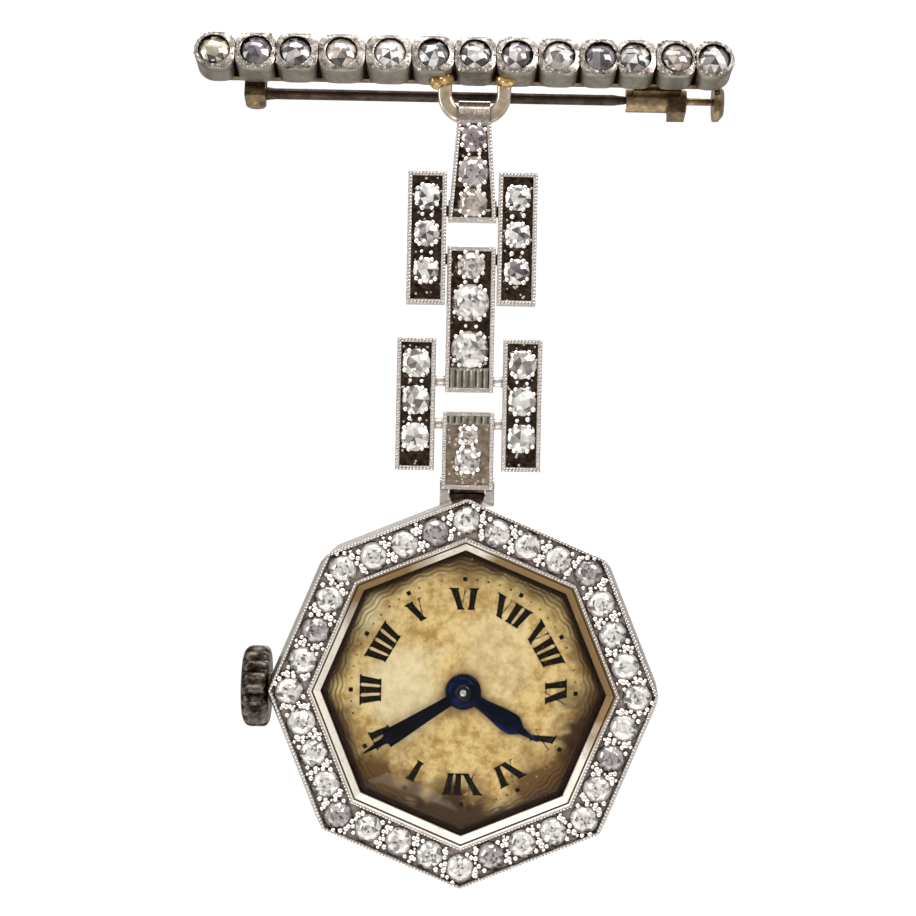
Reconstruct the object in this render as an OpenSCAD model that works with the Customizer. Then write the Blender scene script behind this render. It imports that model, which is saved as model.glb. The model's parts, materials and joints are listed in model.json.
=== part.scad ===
/* [Brooch bar] */
// Pitch of the stones left of the middle one
left_pitch = 2.7; // [2.55:0.05:2.75]
// Pitch of the stones right of the middle one
right_pitch = 2.47; // [2.42:0.01:2.5]
// Radius of a bar stone
bar_stone_r = 1.0; // [0.9:0.05:1.0]
// Outer radius of a collet at its front
collet_r = 1.24; // [1.2:0.02:1.24]
// Depth of a collet from front to back
collet_depth = 2.2; // [1.8:0.1:2.3]
// Angle at which the bar leans back on its pin, in degrees
bar_roll = 18; // [16:1:20]

/* [Brooch pin] */
// Radius of the pin's wire
pin_r = 0.35; // [0.3:0.05:0.35]
// Travel of the safety catch's slider
catch_travel = 1.5; // [1.2:0.1:1.5]

/* [Links] */
// Width of the straps at their lower ends
strap_w = 3.0; // [2.8:0.1:3.1]
// Width of the upper strap under its tongue
strap_top_w = 2.1; // [2.0:0.1:2.4]
// Radius of the cross rods in the buckles
rod_r = 0.35; // [0.3:0.05:0.35]
// Radial clearance between a rod and the strap that swings on it
swing_gap = 0.04; // [0.03:0.01:0.06]
// Width of one side bar of the upper buckle
upper_bar_w = 2.4; // [2.2:0.05:2.4]
// Width of one side bar of the lower buckle
lower_bar_w = 2.4; // [2.2:0.1:2.5]
// Length of a buckle's side bars
buckle_len = 8.2; // [8:0.1:8.3]

/* [Case] */
// Centre to the corners of the case's octagon, before they are rounded
case_r = 12.3; // [12.2:0.05:12.35]
// Radius that the case's corners are rounded to
corner_r = 12; // [11.95:0.05:12.05]
// Centre to corner of the dial opening
opening_r = 8.85; // [8.8:0.05:8.9]
// Diamonds set along each side of the bezel
stones_per_side = 4; // [3:1:4]
// Radius of a bezel diamond
bezel_stone_r = 0.94; // [0.84:0.02:0.96]
// Radius of the crown
crown_r = 2.55; // [2.4:0.05:2.6]
// Flutes round the crown
crown_flutes = 18; // [12:1:20]

/* [Hands] */
// Angle of the hour hand, clockwise from the top
hour_angle = 122; // [100:1:140]
// Angle of the minute hand, clockwise from the top
minute_angle = 238; // [220:1:250]
// Length of the hour hand from the hub
hour_len = 5.6; // [5:0.1:6]
// Length of the minute hand from the hub
minute_len = 7.3; // [7:0.1:7.5]

/* [Hidden] */
$fn = 64;
eps = 0.01;
platinum = "#d9dadc";
gold = "#c9a25a";
gem = "#e8eef2";
steel_blue = "#27405f";
brass = "#c8a468";
nickel = "#c4c6c8";

// The bar frame has its origin on the pin's axis, +Y behind the bar and +Z up.
bar_z = 1.0;
rail_back = -1.35;
rail_t = 0.5;
rail_h = 1.6;
collet_back = rail_back - rail_t;
collet_front = collet_back - collet_depth;
pocket_depth = 0.45;
solder_depth = collet_depth - 0.1;
solder_h = 1.8;
side_stones = 6;
// The stones were soldered by eye, so each sits a little off its even place.
bar_drift = [0, -0.1, -0.35, -0.2, 0.1, 0.1, 0, 0.12, 0.25, 0.35, 0.02, 0.14, 0];
function bar_stone_x(i) =
    (i - side_stones) * (i < side_stones ? left_pitch : right_pitch) + bar_drift[i];
bar_left = bar_stone_x(0);
bar_right = bar_stone_x(2 * side_stones);

pin_hinge_x = -13.8;
pin_knuckle_r = 0.6;
pin_root_r = 0.45;
pin_wall_from = -12.6;
pin_wall_to = 8.8;
pin_tip_x = 11;
bracket_gap = 0.5;
bracket_t = 0.3;
ear_wing = 0.65;
catch_from = 9.6;
catch_to = 13.4;
catch_r = 0.75;
slider_r = 0.54;
slider_from = 11.45;
slider_len = 1.5;
knob_x = 15.1;

// The links and the case hang in one plane, and heights are measured from the pin.
chain_y = -2.2;
bail_z = -1.57;
bail_wire_r = 0.45;
bail_half_w = 1.85;
bail_bend_r = 1.4;
bail_bore_r = 0.6;
upper_rod_z = -7.45;
middle_rod_z = -10.45;
lower_rod_z = -18.05;
last_rod_z = -20.7;
lug_z = -24.5;
case_z = -37.4;
upper_buckle_z = -9.2;
lower_buckle_z = -19.55;
upper_inner = 1.62;
lower_inner = 2.1;

eye_r = 0.72;
plate_front = 0.85;
plate_back = 0.2;
bar_front_z = 1.0;
bar_back_z = -0.6;
rim_w = 0.26;
rim_h = 0.14;
seat_gap = 0.02;
seat_depth = 0.2;
lug_pin_r = 0.3;
ear_r = 0.5;
ear_in = 1.16;
ear_out = 1.7;
// A web between the ears closes the lug behind the strap's eye.
web_foot = 10.9;
web_h = 1.5;
web_gap = 0.06;
eye_half_narrow = 1.1;

// Heights in the watch run from the back, -Z, to the front, +Z.
band_r = 11.85;
band_in_r = 10.5;
band_top = 0.5;
band_bottom = -2.7;
ledge_r = 9.4;
ledge_bottom = 0.1;
rim_outer_r = 12;
channel_out_r = 11.82;
channel_in_r = 9.65;
rim_inner_r = 9.45;
channel_z = 1.85;
rim_z = 2.15;
wall_foot_z = 1.5;
bezel_foot_r = 9.4;
bezel_foot_z = 0.9;
// Half section of the domed glass, as radius and height: foot, front face, then inner face
crystal_foot = [[8.45, 0.55], [9.3, 0.55], [9.3, 0.85], [8.78, 0.85]];
crystal_front = [[8.7, 1.45], [8.2, 1.8], [6, 2.1], [3, 2.25], [0, 2.3]];
crystal_inside = [[0, 2.0], [3, 1.95], [6, 1.8], [8, 1.55], [8.35, 1.35]];
dial_top = 0.4;
dial_t = 0.3;
dial_r = 9.25;
plate_r = 9.5;
plate_top = -0.5;
plate_bottom = -1.2;
bridge_top = -2.2;
bridge_bottom = -2.65;
bridge_r = 8.9;
foot_r = 8.1;
back_bottom = -3.4;
stem_z = -0.85;
stem_r = 0.3;
crown_in = -12.1;
crown_out = -13.9;

// Gear train: teeth, module and place of each arbor
barrel_teeth = 80;
center_pinion_teeth = 10;
center_teeth = 64;
third_pinion_teeth = 8;
third_teeth = 60;
fourth_pinion_teeth = 8;
fourth_teeth = 60;
escape_pinion_teeth = 6;
escape_teeth = 15;
cannon_teeth = 12;
minute_teeth = 36;
minute_pinion_teeth = 10;
hour_teeth = 40;
barrel_m = 0.09;
center_m = 0.1;
third_m = 0.09;
fourth_m = 0.085;
cannon_m = 0.09;
hour_m = cannon_m * (cannon_teeth + minute_teeth) / (minute_pinion_teeth + hour_teeth);
// Arbors stand a hair further apart than the pitch circles touch, which leaves the teeth backlash.
function spread(m, za, zb) = m * (za + zb) / 2 + 0.1 * m;
function step_to(from, dist, angle) = [from[0] + dist * cos(angle), from[1] + dist * sin(angle)];
barrel_angle = 135;
third_angle = 10;
fourth_angle = -100;
escape_angle = -150;
minute_wheel_angle = 120;
barrel_at = step_to([0, 0], spread(barrel_m, barrel_teeth, center_pinion_teeth), barrel_angle);
third_at = step_to([0, 0], spread(center_m, center_teeth, third_pinion_teeth), third_angle);
fourth_at = step_to(third_at, spread(third_m, third_teeth, fourth_pinion_teeth), fourth_angle);
escape_at = step_to(fourth_at, spread(fourth_m, fourth_teeth, escape_pinion_teeth), escape_angle);
minute_wheel_at = step_to([0, 0], spread(cannon_m, cannon_teeth, minute_teeth), minute_wheel_angle);
pallet_angle = 170;
pallet_at = step_to(escape_at, 1.85, pallet_angle);
balance_at = [-3.3, -4.0];
fork_angle = atan2(balance_at[1] - pallet_at[1], balance_at[0] - pallet_at[0]);
balance_r = 2.75;
escape_r = 1.15;
arbor_r = 0.15;
pivot_gap = 0.04;
jewel_r = 0.42;
barrel_r = 3.45;
drum_bottom = -1.9;
drum_h = 0.6;
ratchet_r = 2.1;
ratchet_teeth = 40;
wheel_t = 0.12;
// Three floors of wheels between the main plate and the bridges, the first nearest the plate
level_a = -1.42;
level_b = -1.76;
level_c = -2.09;
pinion_t = 0.22;

// A tooth of the first wheel that lies off the line of centres asks for the same offset, turned
// into the second wheel's pitch, on the other side of the mesh.
function mesh_phase(line, phase, za, zb) = line + 180 + 180 / zb - (phase - line) * za / zb;
center_phase = 0;
third_phase = mesh_phase(third_angle, center_phase, center_teeth, third_pinion_teeth);
fourth_phase = mesh_phase(fourth_angle, third_phase, third_teeth, fourth_pinion_teeth);
escape_phase = mesh_phase(escape_angle, fourth_phase, fourth_teeth, escape_pinion_teeth);
barrel_phase = mesh_phase(barrel_angle, center_phase, center_pinion_teeth, barrel_teeth);
minute_wheel_phase = mesh_phase(minute_wheel_angle, center_phase, cannon_teeth, minute_teeth);
hour_phase = mesh_phase(minute_wheel_angle + 180, minute_wheel_phase, minute_pinion_teeth, hour_teeth);

module bar_frame() rotate([-bar_roll, 0, 0]) children();

// Turns a drawing with +Z toward the viewer into the hanging position at height z.
module hang(z) translate([0, chain_y, z]) rotate([90, 0, 0]) children();

module watch() hang(case_z) children();

module octagon(r) circle(r, $fn = 8);

module octagon_ring(r_out, r_in, z0, z1)
    translate([0, 0, z0]) linear_extrude(z1 - z0) difference() {
        octagon(r_out);
        octagon(r_in);
    }

module rod(r, x0, x1) translate([x0, 0, 0]) rotate([0, 90, 0]) cylinder(h = x1 - x0, r = r);

// A flat-backed stone: a short girdle, a sloping crown and a flat table
module stone(r) rotate_extrude()
    polygon([[0, 0], [r * 0.94, 0], [r, 0.12], [r * 0.62, 0.12 + r * 0.36], [0, 0.12 + r * 0.42]]);

module gear(teeth, m, h, addendum = 0.9) {
    pitch_r = m * teeth / 2;
    root_r = pitch_r - 1.15 * m;
    tip_r = pitch_r + addendum * m;
    root_half = 360 / teeth * 0.26;
    tip_half = 360 / teeth * 0.11;
    linear_extrude(h) polygon([for (i = [0:teeth - 1], p = [
        [root_r, -root_half], [tip_r, -tip_half], [tip_r, tip_half], [root_r, root_half]
    ]) let (a = i * 360 / teeth + p[1]) [p[0] * cos(a), p[0] * sin(a)]]);
}

module sector(r, a0, a1) polygon(concat([[0, 0]],
    [for (i = [0:8]) let (a = a0 + (a1 - a0) * i / 8) [2 * r * cos(a), 2 * r * sin(a)]]));

// ---- Brooch bar ----
module collet_places() for (i = [0:2 * side_stones])
    translate([bar_stone_x(i), 0, bar_z]) rotate([90, 0, 0]) children();

module solder(x0, x1, gap) translate([x0, collet_back - solder_depth - gap, bar_z - solder_h / 2 - gap])
    cube([x1 - x0, solder_depth + gap, solder_h + 2 * gap]);

module bar_collets() color(platinum) bar_frame() difference() {
    union() {
        collet_places() translate([0, 0, -collet_back])
            cylinder(h = collet_depth, r1 = collet_r - 0.06, r2 = collet_r);
        solder(bar_left, bar_right, 0);
    }
    collet_places() translate([0, 0, -collet_front - pocket_depth])
        cylinder(h = pocket_depth + 1, r = bar_stone_r + seat_gap);
    collet_places() translate([0, 0, -collet_back - 1])
        cylinder(h = collet_depth + 1, r = bar_stone_r * 0.72);
}

module bar_diamonds() color(gem) bar_frame()
    collet_places() translate([0, 0, -collet_front - pocket_depth]) stone(bar_stone_r);

module bar_rail() color(gold) bar_frame() {
    translate([bar_left - 0.3, collet_back, bar_z - rail_h / 2])
        cube([bar_right - bar_left + 0.6, rail_t, rail_h]);
}

module bail_bend(side) translate([side * (bail_half_w - bail_bend_r), 0, bail_bend_r])
    rotate([90, 0, 0]) rotate([0, 0, side > 0 ? -90 : 180])
    rotate_extrude(angle = 90) translate([bail_bend_r, 0]) circle(bail_wire_r);

module bail() color(platinum) difference() {
    translate([0, chain_y, bail_z]) {
        rod(bail_wire_r, -bail_half_w + bail_bend_r, bail_half_w - bail_bend_r);
        for (side = [-1, 1]) {
            bail_bend(side);
            translate([side * bail_half_w, 0, bail_bend_r]) cylinder(h = 1.75, r = bail_wire_r);
        }
    }
    bar_frame() {
        collet_places() translate([0, 0, -collet_back]) cylinder(h = collet_depth, r = collet_r + 0.01);
        solder(-4, 4, eps);
        translate([-4, collet_back - eps, bar_z - rail_h / 2]) cube([8, 3, 4]);
        translate([-4, collet_front - 1, bar_z]) cube([8, 4, 4]);
    }
}

module pin_bracket() color(gold) bar_frame() difference() {
    union() {
        translate([pin_hinge_x - ear_wing, rail_back, -bracket_gap - bracket_t])
            cube([2 * ear_wing, 0.4, bar_z + bracket_gap + bracket_t]);
        for (z = [-bracket_gap - bracket_t, bracket_gap]) {
            translate([pin_hinge_x, 0, z]) cylinder(h = bracket_t, r = ear_wing);
            translate([pin_hinge_x - ear_wing, rail_back + 0.1, z])
                cube([2 * ear_wing, -rail_back - 0.1, bracket_t]);
        }
    }
    translate([pin_hinge_x, 0, -3]) cylinder(h = 6, r = 0.3);
}

module pin_rivet() color(gold) bar_frame() translate([pin_hinge_x, 0, 0]) {
    translate([0, 0, -bracket_gap - bracket_t]) cylinder(h = 2 * (bracket_gap + bracket_t), r = 0.3);
    for (s = [0, 1]) mirror([0, 0, s])
        translate([0, 0, bracket_gap + bracket_t]) cylinder(h = 0.12, r1 = 0.48, r2 = 0.35);
}

module pin_stem() color("#8a7a5c") bar_frame() difference() {
    union() {
        translate([pin_hinge_x, 0, -bracket_gap + 0.04])
            cylinder(h = 2 * bracket_gap - 0.08, r = pin_knuckle_r);
        translate([pin_hinge_x + 0.4, 0, 0]) rotate([0, 90, 0])
            cylinder(h = pin_wall_from - pin_hinge_x - 0.4, r1 = pin_root_r, r2 = pin_r);
        rod(pin_r, pin_wall_from, pin_wall_to);
        translate([pin_wall_to, 0, 0]) rotate([0, 90, 0])
            cylinder(h = pin_tip_x - pin_wall_to, r1 = pin_r, r2 = 0.05);
    }
    translate([pin_hinge_x, 0, -3]) cylinder(h = 6, r = 0.34);
}

module catch_barrel() color(gold) bar_frame() difference() {
    union() {
        rod(catch_r, catch_from, catch_to);
        translate([catch_from + 0.4, rail_back, 0]) cube([catch_to - catch_from - 0.8, 0.7, bar_z]);
        translate([catch_to - 1.2, -0.8, -catch_r - 0.4]) cube([1.1, 1.4, 1]);
    }
    rod(slider_r + 0.03, catch_from - 1, catch_to - 0.3);
    rod(0.28, catch_from, catch_to + 1);
    translate([catch_from - 1, 0, -0.45]) cube([slider_from - catch_from + 0.9, 2, 0.9]);
}

module catch_slider() color(gold) bar_frame() {
    difference() {
        rod(slider_r, slider_from, slider_from + slider_len);
        rod(0.36, slider_from - 1, slider_from + slider_len - 0.3);
    }
    rod(0.24, slider_from + slider_len - eps, knob_x + 0.1);
    rod(1.25, knob_x, knob_x + 0.35);
    translate([knob_x + 0.35, 0, 0]) rotate([0, 90, 0]) cylinder(h = 0.3, r1 = 1.25, r2 = 0.9);
}

// ---- Straps and buckles ----
module eye(half) rotate([0, 90, 0]) translate([0, 0, -half]) cylinder(h = 2 * half, r = eye_r);

module strap_face(w0, w1, y0, y1, z0, z1) translate([0, 0, z0]) linear_extrude(z1 - z0)
    polygon([[-w0 / 2, y0], [w0 / 2, y0], [w1 / 2, y1], [-w1 / 2, y1]]);

// Front plate with raised edges, from y0 at the top down to y1
module strap_plate(w0, w1, y0, y1) difference() {
    strap_face(w0, w1, y0, y1, plate_back, plate_front);
    strap_face(w0 - 2 * rim_w, w1 - 2 * rim_w, y0 - rim_w, y1 + rim_w, plate_front - rim_h, 2);
}

module seats(stones) for (s = stones)
    translate([s[0], s[1], plate_front - rim_h - seat_depth])
        cylinder(h = 2, r = s[2] + seat_gap);

module strap_stones(stones) color(gem) for (s = stones)
    translate([s[0], s[1], plate_front - rim_h - seat_depth]) stone(s[2]);

upper_stones = [[0, -1.35, 0.84], [0, -3.5, 0.92], [0, -5.45, 0.88]];
middle_stones = [[0, -0.4, 0.85], [0, -2.75, 1.15], [0, -5.65, 1.15]];
lower_stones = [[0, -2.35, 0.8], [0, -0.75, 0.6]];

module upper_strap() color(platinum) hang(bail_z) difference() {
    union() {
        rod(1.0, -0.98, 0.98);
        strap_plate(strap_top_w, strap_top_w + 0.9, -0.3, upper_rod_z - bail_z - eye_r);
        translate([0, upper_rod_z - bail_z, 0]) eye(1.5);
    }
    rod(bail_bore_r, -3, 3);
    translate([0, upper_rod_z - bail_z, 0]) rod(rod_r + swing_gap, -3, 3);
    seats(upper_stones);
}
module upper_strap_diamonds() hang(bail_z) strap_stones(upper_stones);

module middle_strap() color(platinum) hang(middle_rod_z) difference() {
    union() {
        eye(strap_w / 2);
        strap_plate(strap_w, strap_w, eye_r, lower_rod_z - middle_rod_z - eye_r);
        translate([0, lower_rod_z - middle_rod_z, 0]) eye(strap_w / 2);
    }
    rod(rod_r + swing_gap, -3, 3);
    translate([0, lower_rod_z - middle_rod_z, 0]) rod(rod_r + swing_gap, -3, 3);
    seats(middle_stones);
}
module middle_strap_diamonds() hang(middle_rod_z) strap_stones(middle_stones);

// The lower strap ends in a thin apron over the hinge, which clears the ears of the case.
lower_strap_w = strap_w + 0.2;
apron_z = lug_z - last_rod_z - 0.3;
apron_back = 0.56;
module lower_strap() color(platinum) hang(last_rod_z) difference() {
    union() {
        eye(lower_strap_w / 2);
        difference() {
            union() {
                strap_face(lower_strap_w, lower_strap_w, eye_r, apron_z + 0.9, plate_back, plate_front);
                strap_face(lower_strap_w, lower_strap_w, apron_z + 1, apron_z, apron_back, plate_front);
            }
            strap_face(lower_strap_w - 2 * rim_w, lower_strap_w - 2 * rim_w, eye_r - rim_w,
                apron_z + rim_w, plate_front - rim_h, 2);
        }
        translate([0, lug_z - last_rod_z, 0]) eye(eye_half_narrow);
    }
    rod(rod_r + swing_gap, -3, 3);
    translate([0, lug_z - last_rod_z, 0]) rod(lug_pin_r + swing_gap, -3, 3);
    seats(lower_stones);
}
module lower_strap_diamonds() hang(last_rod_z) strap_stones(lower_stones);

module side_bar(inner, w) translate([inner, -buckle_len / 2, bar_back_z]) difference() {
    cube([w, buckle_len, bar_front_z - bar_back_z]);
    translate([rim_w, rim_w, bar_front_z - bar_back_z - rim_h])
        cube([w - 2 * rim_w, buckle_len - 2 * rim_w, 1]);
}

function bar_stones(inner, w) = [for (side = [-1, 1], k = [-1, 0, 1])
    [side * (inner + w / 2), 0.25 + k * 2.3]];

module buckle(inner, w, stone_r, rod_heights) difference() {
    for (side = [0, 1]) mirror([side, 0, 0]) side_bar(inner, w);
    for (y = rod_heights) translate([0, y, 0]) rod(rod_r, -inner - 1, inner + 1);
    for (s = bar_stones(inner, w)) translate([s[0], s[1], bar_front_z - rim_h - seat_depth])
        cylinder(h = 2, r = stone_r + seat_gap);
}

module buckle_stones(inner, w, stone_r) color(gem) for (s = bar_stones(inner, w))
    translate([s[0], s[1], bar_front_z - rim_h - seat_depth]) stone(stone_r);

upper_buckle_stone_r = 0.76;
lower_buckle_stone_r = 0.84;
module upper_buckle() color(platinum) hang(upper_buckle_z)
    buckle(upper_inner, upper_bar_w, upper_buckle_stone_r,
        [upper_rod_z - upper_buckle_z, middle_rod_z - upper_buckle_z]);
module upper_buckle_diamonds() hang(upper_buckle_z)
    buckle_stones(upper_inner, upper_bar_w, upper_buckle_stone_r);
module lower_buckle() color(platinum) hang(lower_buckle_z)
    buckle(lower_inner, lower_bar_w, lower_buckle_stone_r,
        [lower_rod_z - lower_buckle_z, last_rod_z - lower_buckle_z]);
module lower_buckle_diamonds() hang(lower_buckle_z)
    buckle_stones(lower_inner, lower_bar_w, lower_buckle_stone_r);

module cross_rod(z, inner) color(platinum) hang(z) rod(rod_r, -inner - 1, inner + 1);
module upper_buckle_rod_top() cross_rod(upper_rod_z, upper_inner);
module upper_buckle_rod_bottom() cross_rod(middle_rod_z, upper_inner);
module lower_buckle_rod_top() cross_rod(lower_rod_z, lower_inner);
module lower_buckle_rod_bottom() cross_rod(last_rod_z, lower_inner);
module lug_pin() color(platinum) hang(lug_z) rod(lug_pin_r, -ear_out, ear_out);

// ---- Case ----
lug_y = lug_z - case_z;
module case_band() color(platinum) watch() difference() {
    union() {
        octagon_ring(band_r, band_in_r, band_bottom, band_top);
        octagon_ring(band_in_r + 0.2, ledge_r, ledge_bottom, band_top);
        for (side = [0, 1]) mirror([side, 0, 0]) {
            translate([ear_in, lug_y, 0]) rotate([0, 90, 0]) cylinder(h = ear_out - ear_in, r = ear_r);
            translate([ear_in, 10.5, -ear_r]) cube([ear_out - ear_in, lug_y - 10.5, 2 * ear_r]);
        }
        difference() {
            translate([-ear_in - eps, web_foot, -ear_r]) cube([2 * ear_in + 2 * eps, web_h, 2 * ear_r]);
            translate([0, lug_y, 0]) rod(eye_r + web_gap, -3, 3);
        }
    }
    translate([0, lug_y, 0]) rod(lug_pin_r, -3, 3);
    translate([0, 0, stem_z]) rod(0.9, -14, -9);
}

// Half section of the bezel: flared side, outer rim, stone channel, inner rim and sloping wall
module bezel() color(platinum) watch() intersection() {
    rotate_extrude($fn = 8) polygon([
        [bezel_foot_r, band_top], [case_r, band_top], [rim_outer_r + 0.06, rim_z - 0.2],
        [rim_outer_r, rim_z], [channel_out_r + 0.02, rim_z], [channel_out_r, channel_z],
        [channel_in_r, channel_z], [channel_in_r - 0.02, rim_z], [rim_inner_r, rim_z + 0.03],
        [opening_r, wall_foot_z], [opening_r, bezel_foot_z], [bezel_foot_r, bezel_foot_z]
    ]);
    cylinder(h = rim_z + 1, r = corner_r);
}

bezel_mid_r = (channel_out_r + channel_in_r) / 2;
function corner(i) = [bezel_mid_r * cos(45 * i), bezel_mid_r * sin(45 * i)];
module bezel_places() for (i = [0:7], k = [0:stones_per_side - 1])
    translate(concat(corner(i) + (corner(i + 1) - corner(i)) * k / stones_per_side, channel_z))
        children();
module bezel_diamonds() color(gem) watch() bezel_places() translate([0, 0, 0.01]) stone(bezel_stone_r);

module crystal() color("#dfe8ea", 0.35) watch() rotate_extrude($fn = 8)
    polygon(concat(crystal_foot, crystal_front, crystal_inside));

module case_back() color(platinum) watch() difference() {
    union() {
        translate([0, 0, back_bottom + 0.3]) linear_extrude(band_bottom - back_bottom - 0.3)
            octagon(band_r);
        translate([0, 0, back_bottom]) cylinder(h = 0.3, r1 = band_r - 0.6, r2 = band_r, $fn = 8);
        octagon_ring(band_in_r - 0.05, band_in_r - 0.55, band_bottom - 0.1, -2.2);
    }
    translate([0, 0, -2.95]) linear_extrude(2) octagon(band_in_r - 0.55);
}

module pendant_tube() color(gold) watch() translate([0, 0, stem_z]) difference() {
    rod(0.9, -12.6, -9.75);
    rod(stem_r + 0.05, -14, -9);
}

module crown() color("#a58a55") watch() translate([0, 0, stem_z]) difference() {
    union() {
        rod(crown_r, crown_out + 0.35, crown_in - 0.35);
        translate([crown_in - 0.35, 0, 0]) rotate([0, 90, 0])
            cylinder(h = 0.35, r1 = crown_r, r2 = crown_r - 0.4);
        translate([crown_out, 0, 0]) rotate([0, 90, 0])
            cylinder(h = 0.35, r1 = crown_r - 0.6, r2 = crown_r);
    }
    rod(1.0, -12.9, -11);
    rod(stem_r, -13.4, -11);
    for (i = [0:crown_flutes - 1]) rotate([i * 360 / crown_flutes, 0, 0])
        translate([0, crown_r + 0.08, 0]) rod(0.24, -15, -11);
}

module winding_stem() color(nickel) watch() translate([0, 0, stem_z]) rod(stem_r, -13.4, -5.6);

module winding_pinion() color(nickel) watch() translate([-7.9, 0, stem_z]) rotate([0, 90, 0])
    difference() {
        gear(14, 0.09, 1.0);
        translate([0, 0, -1]) cylinder(h = 3, r = stem_r + 0.03);
    }

// ---- Dial and hands ----
module dial() color("#c9b27c") watch() difference() {
    union() {
        translate([0, 0, dial_top - dial_t]) linear_extrude(dial_t) octagon(dial_r);
        for (a = [60, 240]) rotate(a) translate([7.6, 0, plate_top - 0.4]) cylinder(h = 1.1, r = 0.25);
    }
    translate([0, 0, -2]) cylinder(h = 4, r = 0.75);
}

// A hand along +Y: slim neck, a blade that widens to square shoulders, then a narrow tip
module hand_blade(len, neck, broad, shoulder) polygon([
    [-neck, 0], [-broad, shoulder * len], [-broad * 0.45, shoulder * len], [-0.06, len],
    [0.06, len], [broad * 0.45, shoulder * len], [broad, shoulder * len], [neck, 0]
]);

module hour_hand() color(steel_blue) watch() translate([0, 0, 0.6]) rotate(-hour_angle) difference() {
    union() {
        linear_extrude(0.14) hand_blade(hour_len, 0.3, 0.62, 0.7);
        cylinder(h = 0.22, r = 1.12);
    }
    translate([0, 0, -1]) cylinder(h = 3, r = 0.62);
}

module minute_hand() color("#16202c") watch() translate([0, 0, 0.92]) rotate(-minute_angle) {
    difference() {
        union() {
            linear_extrude(0.14) hand_blade(minute_len, 0.32, 0.56, 0.75);
            cylinder(h = 0.25, r1 = 1.0, r2 = 0.75);
        }
        translate([0, 0, -1]) cylinder(h = 3, r = 0.4);
    }
}

// ---- Movement ----
module at(p) translate([p[0], p[1], 0]) children();
pivots = [third_at, fourth_at, escape_at, balance_at];
screw_at = [for (a = [100, 150, -45, 35, 232]) [8.5 * cos(a), 8.5 * sin(a)]];

module main_plate() color(brass) watch() difference() {
    union() {
        translate([0, 0, plate_bottom]) cylinder(h = plate_top - plate_bottom, r = plate_r);
        translate([0, 0, plate_top]) difference() {
            cylinder(h = ledge_bottom - plate_top, r = plate_r);
            translate([0, 0, -1]) cylinder(h = 3, r = 8.2);
        }
        at(minute_wheel_at) translate([0, 0, plate_top]) cylinder(h = 0.5, r = 0.16);
    }
    translate([0, 0, -3]) cylinder(h = 4, r = 0.32);
    for (p = pivots) at(p) translate([0, 0, -3]) cylinder(h = 4, r = jewel_r);
    at(barrel_at) translate([0, 0, -3]) cylinder(h = 4, r = 0.4);
    at(pallet_at) translate([0, 0, -3]) cylinder(h = 4, r = arbor_r + pivot_gap);
    for (p = screw_at) at(p) translate([0, 0, -3]) cylinder(h = 2.3, r = 0.27);
    for (a = [60, 240]) rotate(a) translate([7.6, 0, -3]) cylinder(h = 4, r = 0.25);
    translate([-10, -0.9, -3]) cube([4.7, 1.8, 3.2]);
}

// A bridge: a sector of plate whose outer edge stands on the main plate
module bridge(a0, a1, inner_r) difference() {
    union() {
        translate([0, 0, bridge_bottom]) linear_extrude(bridge_top - bridge_bottom)
            intersection() {
                circle(bridge_r);
                sector(bridge_r, a0, a1);
            }
        translate([0, 0, bridge_top]) linear_extrude(plate_bottom - bridge_top) intersection() {
            difference() {
                circle(bridge_r);
                circle(foot_r);
            }
            sector(bridge_r, a0, a1);
        }
    }
    translate([0, 0, -4]) cylinder(h = 4, r = inner_r);
    for (p = screw_at) at(p) translate([0, 0, -3]) cylinder(h = 2, r = 0.27);
    for (p = pivots) at(p) translate([0, 0, -3]) cylinder(h = 2, r = jewel_r);
    at(barrel_at) translate([0, 0, -3]) cylinder(h = 2, r = 0.5);
}

module barrel_bridge() color(nickel) watch() bridge(84, 168, 0.9);
module train_bridge() color(nickel) watch() bridge(-88, 78, 0.6);
module balance_cock() color(nickel) watch() bridge(222, 244, 3.4);

module mainspring_barrel() color(brass) watch() at(barrel_at) rotate(barrel_phase) difference() {
    union() {
        translate([0, 0, level_a]) gear(barrel_teeth, barrel_m, wheel_t);
        translate([0, 0, drum_bottom]) cylinder(h = drum_h, r = barrel_r);
    }
    translate([0, 0, -3]) cylinder(h = 3, r = 0.4);
    translate([0, 0, drum_bottom + 0.12]) difference() {
        cylinder(h = drum_h - 0.24, r = barrel_r - 0.25);
        translate([0, 0, -1]) cylinder(h = 3, r = 0.7);
    }
}

module ratchet_wheel() color(nickel) watch() at(barrel_at) {
    translate([0, 0, -2.88]) gear(ratchet_teeth, 2 * ratchet_r / ratchet_teeth, 0.18);
    translate([0, 0, -2.8]) cylinder(h = 2.25, r = 0.36);
}

module click() color(nickel) watch() at(step_to(barrel_at, ratchet_r + 0.95, 100)) {
    translate([0, 0, -2.85]) difference() {
        linear_extrude(0.18) polygon([[-0.5, 0.4], [-0.5, -0.3], [-0.12, -0.72], [0.1, -0.7],
            [0.5, -0.2], [0.5, 0.4]]);
        translate([0, 0, -1]) cylinder(h = 3, r = 0.2);
    }
}

module arbor(p, top, bottom) at(p) translate([0, 0, bottom]) cylinder(h = top - bottom, r = arbor_r);

module wheel(p, phase, teeth, m, level, pinion_teeth, pinion_m, pinion_level, pinion_h)
    at(p) rotate(phase) {
        difference() {
            translate([0, 0, level]) gear(teeth, m, wheel_t);
            for (i = [0:4]) rotate(i * 72) translate([m * teeth * 0.28, 0, level - 1])
                cylinder(h = 2, r = m * teeth * 0.1);
        }
        translate([0, 0, pinion_level]) gear(pinion_teeth, pinion_m, pinion_h, 0.75);
    }

module center_wheel() color(brass) watch() {
    wheel([0, 0], center_phase, center_teeth, center_m, level_c, center_pinion_teeth, barrel_m,
        level_c, level_a + 0.15 - level_c);
    translate([0, 0, level_c - 0.05]) cylinder(h = 0.8 - level_c, r = 0.28);
}

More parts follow.
